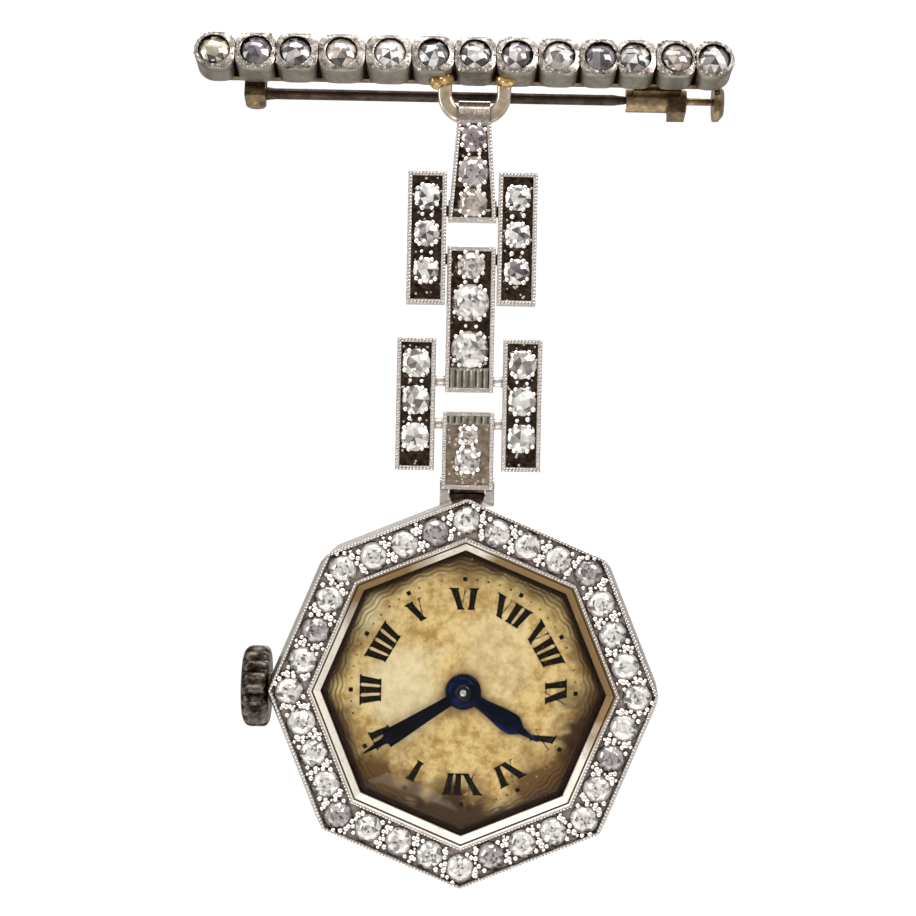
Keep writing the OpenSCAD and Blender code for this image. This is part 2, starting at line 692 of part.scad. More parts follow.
module third_wheel() color(brass) watch() {
    wheel(third_at, third_phase, third_teeth, third_m, level_a, third_pinion_teeth, center_m,
        level_c - 0.05, pinion_t);
    arbor(third_at, plate_top - 0.1, -2.55);
}

module fourth_wheel() color(brass) watch() {
    wheel(fourth_at, fourth_phase, fourth_teeth, fourth_m, level_b, fourth_pinion_teeth, third_m,
        level_a - 0.05, pinion_t);
    arbor(fourth_at, plate_top - 0.1, -2.55);
}

module escape_wheel() color(brass) watch() {
    at(escape_at) rotate(escape_phase) {
        translate([0, 0, level_b - 0.05]) gear(escape_pinion_teeth, fourth_m, pinion_t, 0.75);
        translate([0, 0, level_a]) linear_extrude(wheel_t) polygon([
            for (i = [0:escape_teeth - 1], p = [[0.8, 0], [escape_r, 2], [escape_r, 4], [0.82, 14]])
                let (a = i * 360 / escape_teeth + p[1]) [p[0] * cos(a), p[0] * sin(a)]
        ]);
    }
    arbor(escape_at, plate_top - 0.1, -2.55);
}

module pallet_fork() color(nickel) watch() {
    at(pallet_at) translate([0, 0, level_a]) linear_extrude(wheel_t) {
        rotate(pallet_angle) polygon([
            [-0.6, -0.95], [-0.25, -1.0], [-0.15, -0.3], [0.1, 0], [-0.15, 0.3], [-0.25, 1.0],
            [-0.6, 0.95], [-0.42, 0.2], [-0.42, -0.2]
        ]);
        rotate(fork_angle) polygon([
            [-0.2, -0.14], [1.2, -0.1], [1.45, -0.3], [1.6, -0.22], [1.4, 0], [1.6, 0.22],
            [1.45, 0.3], [1.2, 0.1], [-0.2, 0.14]
        ]);
    }
    arbor(pallet_at, plate_top - 0.1, level_a - 0.05);
}

module balance_wheel() color(brass) watch() {
    at(balance_at) translate([0, 0, level_a]) cylinder(h = wheel_t, r = 0.38);
    at(balance_at) translate([0, 0, level_b]) linear_extrude(wheel_t) {
        difference() {
            circle(balance_r);
            circle(balance_r - 0.35);
        }
        rotate(40) square([2 * balance_r - 0.3, 0.35], center = true);
    }
    arbor(balance_at, plate_top - 0.1, -2.55);
}

// One flat coil, drawn as an Archimedean spiral strip
hair_turns = 5;
hair_steps = 20 * hair_turns;
function hair_r(i) = 0.35 + 1.2 * i / hair_steps;
function hair_point(i, side) = let (a = i * 360 * hair_turns / hair_steps)
    [(hair_r(i) + side * 0.03) * cos(a), (hair_r(i) + side * 0.03) * sin(a)];
module hairspring() color(steel_blue) watch() at(balance_at)
    translate([0, 0, level_b - 0.2]) linear_extrude(0.12) polygon(concat(
        [for (i = [0:hair_steps]) hair_point(i, 1)],
        [for (i = [hair_steps:-1:0]) hair_point(i, -1)]
    ));

module cannon_pinion() color(nickel) watch() difference() {
    union() {
        translate([0, 0, -0.44]) rotate(center_phase) gear(cannon_teeth, cannon_m, 0.18, 0.75);
        translate([0, 0, -0.44]) cylinder(h = 1.7, r = 0.4);
        translate([0, 0, 1.18]) cylinder(h = 0.2, r1 = 0.5, r2 = 0.35);
    }
    translate([0, 0, -2]) cylinder(h = 2.8, r = 0.28);
}

module minute_wheel() color(brass) watch() at(minute_wheel_at) rotate(minute_wheel_phase)
    difference() {
        union() {
            translate([0, 0, -0.42]) gear(minute_teeth, cannon_m, wheel_t);
            translate([0, 0, -0.42]) gear(minute_pinion_teeth, hour_m, 0.42, 0.75);
        }
        translate([0, 0, -1]) cylinder(h = 2, r = 0.2);
    }

module hour_wheel() color(brass) watch() difference() {
    union() {
        translate([0, 0, -0.2]) rotate(hour_phase) gear(hour_teeth, hour_m, wheel_t);
        translate([0, 0, -0.2]) cylinder(h = 1.0, r = 0.62);
    }
    translate([0, 0, -1]) cylinder(h = 3, r = 0.44);
}

module jewels() color("#b0304a") watch() for (p = pivots) at(p)
    for (z = [bridge_bottom, plate_bottom + 0.1]) translate([0, 0, z]) difference() {
        cylinder(h = 0.45, r = jewel_r);
        translate([0, 0, -1]) cylinder(h = 3, r = arbor_r + pivot_gap);
    }

module bridge_screws() color(steel_blue) watch() for (p = screw_at) at(p) {
    translate([0, 0, bridge_bottom - 0.2]) difference() {
        cylinder(h = 0.2, r = 0.36);
        translate([-0.5, -0.05, -0.1]) cube([1, 0.1, 0.18]);
    }
    translate([0, 0, bridge_bottom]) cylinder(h = 1.8, r = 0.25);
}

bar_collets();
bar_diamonds();
bar_rail();
bail();
pin_bracket();
pin_rivet();
pin_stem();
catch_barrel();
catch_slider();
upper_strap();
upper_strap_diamonds();
upper_buckle();
upper_buckle_diamonds();
upper_buckle_rod_top();
upper_buckle_rod_bottom();
middle_strap();
middle_strap_diamonds();
lower_buckle();
lower_buckle_diamonds();
lower_buckle_rod_top();
lower_buckle_rod_bottom();
lower_strap();
lower_strap_diamonds();
lug_pin();
case_band();
bezel();
bezel_diamonds();
crystal();
case_back();
pendant_tube();
crown();
winding_stem();
winding_pinion();
dial();
hour_hand();
minute_hand();
main_plate();
barrel_bridge();
train_bridge();
balance_cock();
mainspring_barrel();
ratchet_wheel();
click();
center_wheel();
third_wheel();
fourth_wheel();
escape_wheel();
pallet_fork();
balance_wheel();
hairspring();
cannon_pinion();
minute_wheel();
hour_wheel();
jewels();
bridge_screws();
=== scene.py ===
"""Looks of a diamond-set fob watch that hangs by two buckle links from a bar brooch.

Drawing is done in millimetres, in places that stand on the object: u runs to the right, v up and w toward
the viewer. A mesh turns into metres when its piece is made.
"""

import json
import math
import random

import bmesh
import bpy
import numpy as np
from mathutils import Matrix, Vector


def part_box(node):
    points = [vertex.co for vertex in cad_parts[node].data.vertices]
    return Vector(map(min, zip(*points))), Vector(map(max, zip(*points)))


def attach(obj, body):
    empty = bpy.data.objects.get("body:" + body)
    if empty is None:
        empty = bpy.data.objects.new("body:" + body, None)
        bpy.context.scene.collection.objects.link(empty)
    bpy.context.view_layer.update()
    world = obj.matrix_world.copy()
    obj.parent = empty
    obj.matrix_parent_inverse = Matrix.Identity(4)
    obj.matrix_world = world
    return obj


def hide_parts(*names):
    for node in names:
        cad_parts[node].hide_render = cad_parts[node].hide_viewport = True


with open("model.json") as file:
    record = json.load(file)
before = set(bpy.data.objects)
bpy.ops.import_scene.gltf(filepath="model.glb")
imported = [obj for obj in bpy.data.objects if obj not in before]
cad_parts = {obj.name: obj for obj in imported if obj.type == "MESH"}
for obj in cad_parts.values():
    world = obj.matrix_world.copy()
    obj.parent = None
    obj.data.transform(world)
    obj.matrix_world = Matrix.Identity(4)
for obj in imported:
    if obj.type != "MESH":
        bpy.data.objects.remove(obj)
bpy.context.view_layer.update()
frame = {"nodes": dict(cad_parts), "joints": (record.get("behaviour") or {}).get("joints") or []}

MM = 0.001
CAMERA_FAR = 150.0
CAMERA_AIM = (-0.6, -22.86)
CAMERA_ROLL = -1.1
FRAME_WIDTH = 56.9
FRONT_PLANE = 3.0
SENSOR = 36.0

RIM_W = 0.26
RIM_H = 0.14
PLATE_FRONT = 0.85
BAR_FRONT = 1.0
GRAIN_R = 0.15
RIM_GRAINS = 46
CUP_POWER = 2 / 3.8
HIDDEN = 0.005
GROUND_STEP = 0.05
MILGRAIN_PITCH = 0.215
MILGRAIN_R = 0.11
RIB_PITCH = 0.42
TURNING_PITCH = 0.29
TURNING_WAVE = 0.08
TURNING_WAVES = 36
CHAPTER_R = 7.2
GROUND_DEPTH = 0.2
WALL_GROOVE = 8.6
WALL_LOW = 0.95
WALL_HIGH = 2.13
WALL_R = 9.35
CRYSTAL_WALL = 8.72
MINUTE_R = 7.0
AXIS_R = 0.0001
LIT_POINT = (0, -3, -23)


# ---- Places on the object ----
class Place:
    """A drawing frame: u is the world's X, v is given, and w, toward the viewer, is square to both."""

    def __init__(self, origin, up=(0, 0, 1)):
        self.origin = np.array(origin, float)
        u = np.array((1.0, 0, 0))
        v = np.array(up, float) / np.linalg.norm(up)
        self.axes = np.array((u, v, np.cross(u, v)))

    def world(self, points):
        return np.asarray(points, float) @ self.axes + self.origin

    def local(self, points):
        return (np.asarray(points, float) - self.origin) @ self.axes.T


def middle(node):
    """Centre of a CAD node's box, in millimetres."""
    low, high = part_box(node)
    return np.array((low + high) / 2) / MM


def joint_axis(name):
    """Direction of a CAD joint."""
    return next(j["axis"] for j in frame["joints"] if j["name"] == name)


CHAIN_Y = middle("lug_pin")[1]


def hang(z):
    """A place at a height on the upright line that the straps and the case hang on."""
    return Place((0, CHAIN_Y, z))


BAR = Place((0, 0, 0), joint_axis("pin_hinge"))
WATCH = hang(middle("bezel")[2])


def node_points(node, place):
    """Every point of a CAD node's mesh, in a place."""
    mesh = frame["nodes"][node].data
    points = np.empty(len(mesh.vertices) * 3)
    mesh.vertices.foreach_get("co", points)
    return place.local(points.reshape(-1, 3) / MM)


def extent(node, place):
    """Lowest and highest coordinates of a CAD node in a place."""
    points = node_points(node, place)
    return points.min(0), points.max(0)


def node_solids(node, place):
    """The points of each separate solid of a CAD node, from left to right and top to bottom."""
    merged, index = np.unique(np.round(node_points(node, place), 3), axis=0, return_inverse=True)
    index = index.reshape(-1)
    faces = [index[list(face.vertices)] for face in frame["nodes"][node].data.polygons]
    solid, before = np.arange(len(merged)), None
    while before is None or (before != solid).any():
        before = solid.copy()
        for face in faces:
            solid[face] = solid[face].min()
    solids = [merged[solid == k] for k in np.unique(solid)]
    return sorted(solids, key=lambda s: (round(s[:, 0].mean(), 1), -s[:, 1].mean()))


class Seat:
    """Where a CAD stone sits: its centre, radius, and the height of its flat back."""

    def __init__(self, points):
        low, high = points.min(0), points.max(0)
        self.u, self.v = (low[:2] + high[:2]) / 2
        self.r = (high[0] - low[0]) / 2
        self.w = low[2]


def seats(node, place):
    """Where each stone of a CAD node sits."""
    return [Seat(s) for s in node_solids(node, place)]


# ---- Mesh building ----
class Parts:
    """Collects the faces of closed shapes, which become one mesh."""

    def __init__(self, place):
        self.place = place
        self.points, self.faces, self.smooth, self.slots, self.tones = [], [], [], [], []
        self.count = 0

    def add(self, points, faces, smooth=True, slot=0, tones=None):
        points = np.asarray(points, float)
        self.points.append(points)
        self.faces += [tuple(i + self.count for i in f) for f in faces]
        self.smooth += [smooth] * len(faces)
        self.slots += slot if isinstance(slot, list) else [slot] * len(faces)
        self.tones += list(tones) if tones is not None else [(1, 1, 1)] * len(faces)
        self.count += len(points)


def piece(name, parts, body, materials, replaces=(), sharp=35):
    """One object of the parts, which moves with a body and takes each face's material from a slot."""
    mesh = bpy.data.meshes.new(name)
    mesh.from_pydata((parts.place.world(np.vstack(parts.points)) * MM).tolist(), [], parts.faces)
    for material in materials:
        mesh.materials.append(material)
    mesh.polygons.foreach_set("material_index", parts.slots)
    mesh.polygons.foreach_set("use_smooth", parts.smooth)
    facet = mesh.attributes.new("facet", "FLOAT_COLOR", "FACE")
    facet.data.foreach_set("color", np.hstack((parts.tones, np.ones((len(parts.tones), 1)))).ravel())
    shape = bmesh.new()
    shape.from_mesh(mesh)
    bmesh.ops.recalc_face_normals(shape, faces=shape.faces)
    shape.to_mesh(mesh)
    shape.free()
    mesh.set_sharp_from_angle(angle=math.radians(sharp))
    obj = bpy.data.objects.new(name, mesh)
    bpy.context.scene.collection.objects.link(obj)
    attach(obj, body)
    if replaces:
        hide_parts(*replaces)


def stacked(rings, closed_ends=True, closed_loop=False):
    """Points and faces of a skin over rings with equally many points; its ends get flat lids."""
    n = len(rings[0])
    points = np.vstack(rings)
    faces = []
    last = len(rings) if closed_loop else len(rings) - 1
    for k in range(last):
        a, b = k * n, (k + 1) % len(rings) * n
        faces += [(a + i, a + (i + 1) % n, b + (i + 1) % n, b + i) for i in range(n)]
    if closed_ends and not closed_loop:
        faces += [tuple(range(n)), tuple(range(len(points) - n, len(points)))]
    return points, faces


def turned(profile, around=48, loop=True):
    """A profile of (radius, w) points turned round the w axis. A loop is a closed ring's section."""
    angles = np.arange(around) * 2 * math.pi / around
    circle = np.stack((np.cos(angles), np.sin(angles)), 1)
    rings = [np.column_stack((r * circle, np.full(around, w))) for r, w in profile]
    return stacked(rings, closed_ends=not loop, closed_loop=loop)


def bead(centre, r, high=1.0, around=8, rings=4):
    """A small round grain of metal, squashed to high times its radius."""
    u, v, w = centre
    angles = np.arange(around) * 2 * math.pi / around
    points, faces = [(u, v, w - r * high)], []
    for k in range(1, rings):
        lift = -math.cos(math.pi * k / rings) * r * high
        wide = math.sin(math.pi * k / rings) * r
        points += [(u + wide * math.cos(a), v + wide * math.sin(a), w + lift) for a in angles]
    points.append((u, v, w + r * high))
    top = len(points) - 1
    for i in range(around):
        j = (i + 1) % around
        faces.append((0, 1 + j, 1 + i))
        for k in range(rings - 2):
            a = 1 + k * around
            faces.append((a + i, a + j, a + around + j, a + around + i))
        a = 1 + (rings - 2) * around
        faces.append((a + i, a + j, top))
    return points, faces


def along(corners, pitch, closed=False):
    """Evenly spaced points on a line of straight stretches, both ends included."""
    corners = [np.array(c, float) for c in corners]
    if closed:
        corners.append(corners[0])
    points = []
    for a, b in zip(corners, corners[1:]):
        steps = max(1, round(float(np.linalg.norm(b - a)) / pitch))
        points += [a + (b - a) * k / steps for k in range(steps)]
    if not closed:
        points.append(corners[-1])
    return points


def milgrain(parts, corners, w, closed=True):
    """A row of beads along an edge, as a milgrain wheel leaves it."""
    for p in along(corners, MILGRAIN_PITCH, closed):
        parts.add(*bead((p[0], p[1], w), MILGRAIN_R * random.uniform(0.88, 1.06), 0.9))


def relief(us, vs, height, base):
    """A block with a sculpted front: height(u, v) over a grid, and a flat back at base."""
    nu, nv = len(us), len(vs)
    u, v = np.meshgrid(us, vs)
    top = np.column_stack((u.ravel(), v.ravel(), height(u, v).ravel()))
    faces = [
        (j * nu + i, j * nu + i + 1, (j + 1) * nu + i + 1, (j + 1) * nu + i)
        for j in range(nv - 1)
        for i in range(nu - 1)
    ]
    edge = (
        list(range(nu))
        + [j * nu + nu - 1 for j in range(1, nv)]
        + [(nv - 1) * nu + i for i in range(nu - 2, -1, -1)]
        + [j * nu for j in range(nv - 2, 0, -1)]
    )
    bottom = top[edge].copy()
    bottom[:, 2] = base
    start, m = len(top), len(edge)
    faces += [(edge[i], edge[(i + 1) % m], start + (i + 1) % m, start + i) for i in range(m)]
    faces.append(tuple(start + i for i in range(m)))
    return np.vstack((top, bottom)), faces


# ---- Materials ----
class Nodes:
    """Short calls for building the node tree of one material or of the world."""

    def __init__(self, name, made_in=bpy.data.materials, output="OutputMaterial"):
        self.owner = made_in.new(name)
        self.owner.use_nodes = True
        self.tree = self.owner.node_tree
        self.tree.nodes.clear()
        self.output = self.node(output)

    def node(self, kind, inputs=None, **settings):
        n = self.tree.nodes.new("ShaderNode" + kind)
        for key, value in settings.items():
            setattr(n, key, value)
        for key, value in (inputs or {}).items():
            if isinstance(value, bpy.types.NodeSocket):
                self.tree.links.new(value, n.inputs[key])
            else:
                n.inputs[key].default_value = value
        return n

    def place(self, offset=(0, 0, 0)):
        """Where the surface is on the object at rest, in millimetres from offset."""
        metres = self.node("TexCoord").outputs["Object"]
        scaled = self.node("VectorMath", {0: metres, 1: (1 / MM,) * 3}, operation="MULTIPLY").outputs[0]
        return self.node("VectorMath", {0: scaled, 1: tuple(offset)}, operation="SUBTRACT").outputs[0]

    def noise(self, where, scale, detail=3.0, rough=0.55, distortion=0.0):
        return self.node("TexNoise", {"Vector": where, "Scale": scale, "Detail": detail,
                                      "Roughness": rough, "Distortion": distortion}).outputs["Fac"]

    def vary(self, noise, to_low, to_high):
        """Spreads a noise over a range of values."""
        return self.remap(noise, 0.3, 0.7, to_low, to_high)

    def stretch(self, where, factors):
        return self.node("VectorMath", {0: where, 1: factors}, operation="MULTIPLY").outputs[0]

    def from_axis(self, where):
        """Distance from the axis through the middle of the watch."""
        flat = self.stretch(where, (1.0, 0.0, 1.0))
        return self.node("VectorMath", {0: flat}, operation="LENGTH").outputs["Value"]

    def remap(self, value, low, high, to_low=0.0, to_high=1.0):
        return self.node("MapRange", {"Value": value, "From Min": low, "From Max": high,
                                      "To Min": to_low, "To Max": to_high}).outputs["Result"]

    def math(self, operation, a, b=0.5, clamp=False):
        return self.node("Math", {0: a, 1: b}, operation=operation, use_clamp=clamp).outputs[0]

    def mix(self, share, a, b, blend="MIX"):
        n = self.node("Mix", data_type="RGBA", blend_type=blend)
        colour = lambda c: (*c, 1) if isinstance(c, tuple) and len(c) == 3 else c
        for socket, value in ((n.inputs[0], share), (n.inputs[6], colour(a)), (n.inputs[7], colour(b))):
            if isinstance(value, bpy.types.NodeSocket):
                self.tree.links.new(value, socket)
            else:
                socket.default_value = value
        return n.outputs[2]

    def octagon(self, where):
        """Distance from the middle of the watch to the side of the octagon that passes through a point."""
        far = None
        for degrees in (22.5, 67.5, 112.5, 157.5):
            side = (math.cos(math.radians(degrees)), 0.0, math.sin(math.radians(degrees)))
            dot = self.node("VectorMath", {0: where, 1: side}, operation="DOT_PRODUCT").outputs["Value"]
            reach = self.math("ABSOLUTE", dot)
            far = reach if far is None else self.math("MAXIMUM", far, reach)
        return far

    def corners(self, reach, low=0.35, high=0.85):
        """Ambient occlusion as a share: 0 deep in corners and recesses, 1 on open surfaces; the materials paint
        shade with it.
        """
        shade = self.node("AmbientOcclusion", {"Distance": reach * MM}, samples=6).outputs["AO"]
        return self.remap(shade, low, high)

    def bump(self, height, depth, soften=None):
        inputs = {"Height": height, "Strength": 1.0, "Distance": depth * MM}
        if soften is not None:
            inputs["Normal"] = soften
        return self.node("Bump", inputs).outputs["Normal"]

    def soft_edges(self, radius):
        return self.node("Bevel", {"Radius": radius * MM}, samples=4).outputs["Normal"]

    def principled(self, **inputs):
        return self.show(self.node("BsdfPrincipled", {k.replace("_", " "): v for k, v in inputs.items()}))

    def show(self, shader):
        """Makes a shader the surface, and gives the finished material."""
        self.tree.links.new(shader.outputs[0], self.output.inputs["Surface"])
        return self.owner


def srgb(r, g, b):
    """Linear colour from the usual 0 to 255 values."""
    return tuple(((c / 255 + 0.055) / 1.055) ** 2.4 if c > 10 else c / 255 / 12.92 for c in (r, g, b))


def metal(name, light, dark, corner_shade, polish, reach=0.35, scratch=0.25, edge=0.03, spots=1.4):
    """Worn metal: uneven colour and polish, fine scratches, and painted shade that darkens its corners.

    Reach is how far the painted shade spreads from a corner and edge how far corners are softened, in
    millimetres.
    """
    n = Nodes(name)
    where = n.place()
    cloud = n.noise(where, spots, 4.0, 0.6)
    fine = n.noise(where, 9.0, 3.0, 0.6)
    colour = n.mix(n.remap(cloud, 0.35, 0.7), light, dark)
    colour = n.mix(n.remap(fine, 0.55, 0.75, 0, 0.35), colour, dark)
    open_face = n.math("MULTIPLY", n.corners(reach), n.remap(fine, 0.2, 0.45, 0.75, 1.0), clamp=True)
    # Painted shade: the corner shade colour darkens corners and recesses where ambient occlusion finds them, a
    # little unevenly.
    colour = n.mix(open_face, corner_shade, colour)
    lines = n.noise(n.stretch(where, (14.0, 2.0, 1.2)), 2.2, 2.0, 0.7, 0.6)
    cross = n.noise(n.stretch(where, (1.5, 3.0, 16.0)), 1.8, 2.0, 0.7, 0.8)
    scratches = n.math("ADD", n.remap(lines, 0.58, 0.7), n.remap(cross, 0.6, 0.72))
    rough = n.math("ADD", n.vary(cloud, polish * 0.75, polish * 1.35),
                   n.remap(open_face, 0.0, 1.0, 0.3, 0.0), clamp=True)
    rough = n.math("ADD", rough, n.math("MULTIPLY", scratches, scratch * 0.3), clamp=True)
    height = n.math("SUBTRACT", n.math("MULTIPLY", cloud, 0.6), n.math("MULTIPLY", scratches, scratch))
    normal = n.bump(height, 0.012, n.soft_edges(edge) if edge else None)
    return n.principled(Base_Color=colour, Metallic=1.0, Roughness=rough, Normal=normal)


def diamond_material():
    """Cut stone: every facet carries its own painted share of light and reflection, clouded a little from
    inside.
    """
    n = Nodes("diamond")
    where = n.place()
    facet = n.node("Attribute", attribute_name="facet").outputs["Color"]
    cloud = n.noise(where, 2.6, 2.0, 0.5, 1.2)
    inner = n.mix(1.0, facet, n.mix(n.remap(cloud, 0.3, 0.7), (0.66, 0.62, 0.6), (1.0, 0.99, 0.97)), "MULTIPLY")
    rough = n.vary(cloud, 0.04, 0.14)
    return n.principled(Base_Color=inner, Metallic=0.4, Roughness=rough, Coat_Weight=0.8, Coat_IOR=2.0,
                        Coat_Roughness=0.03)


def glass_material():
    """Thin clear crystal: light goes straight through, and the surface mirrors a little at a slant."""
    n = Nodes("crystal_glass")
    where = n.place()
    clear = n.node("BsdfTransparent", {"Color": (0.985, 0.985, 0.97, 1)}).outputs[0]
    rough = n.vary(n.noise(where, 3.0), 0.01, 0.04)
    mirror = n.node("BsdfGlossy", {"Color": (1, 1, 1, 1), "Roughness": rough}).outputs[0]
    share = n.math("MULTIPLY", n.node("Fresnel", {"IOR": 1.4}).outputs[0], 0.22)
    return n.show(n.node("MixShader", {0: share, 1: clear, 2: mirror}))


# Colours of the painted shade that metal takes in its corners
CORNER_SHADE = (0.035, 0.022, 0.014)
BLACK_CORNER_SHADE = (0.02, 0.012, 0.008)
JET = (0.006, 0.003, 0.002)

platinum = metal("platinum", (0.95, 0.885, 0.84), (0.72, 0.65, 0.605), CORNER_SHADE, 0.2)
# Partly a real satin polish, partly painted shade: a much darker copy of platinum for the collets' sides, seen
# from below, and for the strap flutes.
platinum_satin_shaded = metal("platinum_satin_shaded", (0.36, 0.33, 0.275), (0.19, 0.17, 0.13), CORNER_SHADE, 0.34, 0.5)
platinum_bright = metal("platinum_bright", (1.0, 0.945, 0.905), (0.87, 0.80, 0.755), CORNER_SHADE, 0.16, 0.08, 0.1, 0)
ground_metal = metal("ground_metal", (0.075, 0.05, 0.036), JET, JET, 0.3, 0.22, 0.3, 0, 2.6)
beige_ground = metal("beige_ground", (0.38, 0.30, 0.225), (0.12, 0.085, 0.055), (0.04, 0.025, 0.015),
                     0.34, 0.22, 0.3, 0, 2.0)
channel_metal = metal("channel_metal", (0.60, 0.53, 0.49), (0.18, 0.145, 0.12), BLACK_CORNER_SHADE,
                      0.3, 0.3, 0.3, 0, 3.2)
# Painted shade: a darker copy of platinum for the strap's loop round the bail, which lies under the bar.
tongue_shade_metal = metal("tongue_shade_metal", (0.52, 0.44, 0.39), (0.24, 0.19, 0.155), BLACK_CORNER_SHADE, 0.22)
rim_metal = metal("rim_metal", (0.58, 0.52, 0.47), (0.07, 0.05, 0.036), BLACK_CORNER_SHADE, 0.24, 0.4, 0.3, 0, 2.4)
cap_metal = metal("cap_metal", (0.035, 0.036, 0.05), (0.012, 0.012, 0.018), (0.01,) * 3, 0.1, 0.2, 0.1, 0)
# Painted shade: near-black metal inside the collets, round the stones, where shade falls.
pocket_shade_metal = metal("pocket_shade_metal", (0.09, 0.07, 0.06), (0.02, 0.014, 0.012), (0.004, 0.003, 0.002),
                     0.3, 0.3, 0.2, 0)
gold = metal("gold", (0.42, 0.30, 0.165), (0.09, 0.058, 0.03), (0.02, 0.01, 0.004), 0.26)
solder_gold = metal("solder_gold", (0.72, 0.50, 0.22), (0.30, 0.18, 0.07), (0.05, 0.025, 0.01), 0.2, 0.3)
bail_metal = metal("bail_metal", (1.0, 0.93, 0.80), (0.46, 0.29, 0.12), (0.05, 0.02, 0.008),
                   0.18, 0.7, 0.1, 0, 0.75)
pin_metal = metal("pin_metal", (0.09, 0.065, 0.05), (0.035, 0.025, 0.02), (0.02, 0.012, 0.006), 0.3)
steel = metal("movement_steel", (0.72, 0.72, 0.71), (0.55, 0.55, 0.54), (0.05,) * 3, 0.22, 0.15)
brass = metal("movement_brass", (0.82, 0.64, 0.33), (0.66, 0.48, 0.22), (0.08, 0.05, 0.02), 0.26, 0.15)
diamond = diamond_material()
glass = glass_material()


def blued_material(name, deep, light, sheen):
    """Steel heated until its skin turned blue, nearly black where it doesn't catch the light."""
    n = Nodes(name)
    where = n.place()
    cloud = n.noise(where, 1.1, 3.0)
    facing = n.node("LayerWeight", {"Blend": 0.35}).outputs["Facing"]
    colour = n.mix(n.remap(cloud, 0.4, 0.62), deep, light)
    colour = n.mix(n.math("MULTIPLY", facing, 0.45), colour, sheen)
    rough = n.vary(n.noise(where, 7.0), 0.12, 0.26)
    return n.principled(Base_Color=colour, Metallic=1.0, Roughness=rough, Normal=n.bump(cloud, 0.01))


def wall_material():
    """Sloping wall round the dial: cream where it is clean, tarnished olive in stretches and, as painted shade,
    more olive toward the top, with a cut groove and painted shade in its corners.
    """
    n = Nodes("wall_metal")
    where = n.place(WATCH.origin)
    far = n.octagon(where)
    height = n.node("SeparateXYZ", {0: where}).outputs["Z"]
    # Olive tarnish in random stretches, plus painted shade from the height term that makes the wall more olive
    # toward its top.
    patch = n.math("ADD", n.noise(where, 0.16, 2.0, 0.5, 0.3), n.math("MULTIPLY", height, 0.014))
    fine = n.noise(where, 3.0, 3.0, 0.6)
    colour = n.mix(n.remap(patch, 0.46, 0.58), srgb(255, 250, 240), srgb(150, 122, 84))
    colour = n.mix(n.remap(fine, 0.55, 0.75, 0, 0.35), colour, srgb(110, 86, 56))
    groove = n.remap(n.math("ABSOLUTE", n.math("SUBTRACT", far, WALL_GROOVE)), 0.035, 0.06)
    colour = n.mix(groove, srgb(58, 42, 28), colour)
    # Painted shade: dark brown in the wall's corners, where ambient occlusion finds them.
    colour = n.mix(n.corners(0.4, 0.2, 0.62), srgb(44, 28, 14), colour)
    rough = n.vary(fine, 0.32, 0.5)
    return n.principled(Base_Color=colour, Metallic=0.5, Roughness=rough, Normal=n.bump(groove, 0.03))


def crown_material():
    """Gilt crown in patches of dark and pale brass, with painted shade that makes its grooves nearly black."""
    n = Nodes("crown_metal")
    where = n.place()
    cloud = n.noise(where, 1.6, 4.0, 0.6)
    open_face = n.corners(0.5, 0.7, 1.0)
    colour = n.mix(n.remap(cloud, 0.46, 0.7), (0.035, 0.026, 0.02), (0.26, 0.22, 0.18))
    # Painted shade: nearly black in the grooves, where ambient occlusion finds them, a little unevenly.
    unshaded_share = n.math("MULTIPLY", open_face, n.remap(cloud, 0.2, 0.5, 0.4, 1.0))
    colour = n.mix(unshaded_share, (0.003, 0.002, 0.001), colour)
    rough = n.vary(cloud, 0.2, 0.42)
    return n.principled(Base_Color=colour, Metallic=1.0, Roughness=rough, Normal=n.bump(cloud, 0.03))


def ruby_material():
    """Red jewel, a little uneven inside."""
    n = Nodes("ruby")
    where = n.place()
    colour = n.mix(n.noise(where, 3.0), (0.35, 0.01, 0.06), (0.7, 0.06, 0.16))
    return n.principled(Base_Color=colour, Roughness=n.vary(n.noise(where, 5.0), 0.06, 0.15),
                        Coat_Weight=0.5)


# Stains on the dial: centre u, v, reach in millimetres, strength, colour
AGED = srgb(92, 58, 20)
DEEP = srgb(56, 30, 8)
PALE = srgb(246, 234, 198)
STAINS = [
    ((-3.8, 0.0), 3.3, 0.62, PALE), ((2.2, 2.4), 3.4, 0.3, PALE), ((-6.3, 5.2), 1.9, 0.5, PALE),
    ((-8.8, 2.2), 2.2, 0.7, AGED), ((-8.3, -2.8), 2.2, 0.9, AGED), ((-5.4, -6.4), 3.3, 0.95, AGED),
    ((-0.5, -8.4), 3.7, 1.0, DEEP), ((5.8, -6.0), 3.4, 0.93, AGED), ((8.8, -2.2), 3.5, 1.0, DEEP),
    ((8.6, 2.8), 2.2, 0.85, AGED), ((0.3, 8.9), 2.4, 0.75, AGED), ((4.8, 7.0), 1.8, 0.6, AGED),
    ((-5.0, 7.4), 1.8, 0.6, AGED), ((-6.6, 3.2), 1.1, 0.35, AGED), ((2.6, -7.5), 0.8, 0.6, PALE),
]


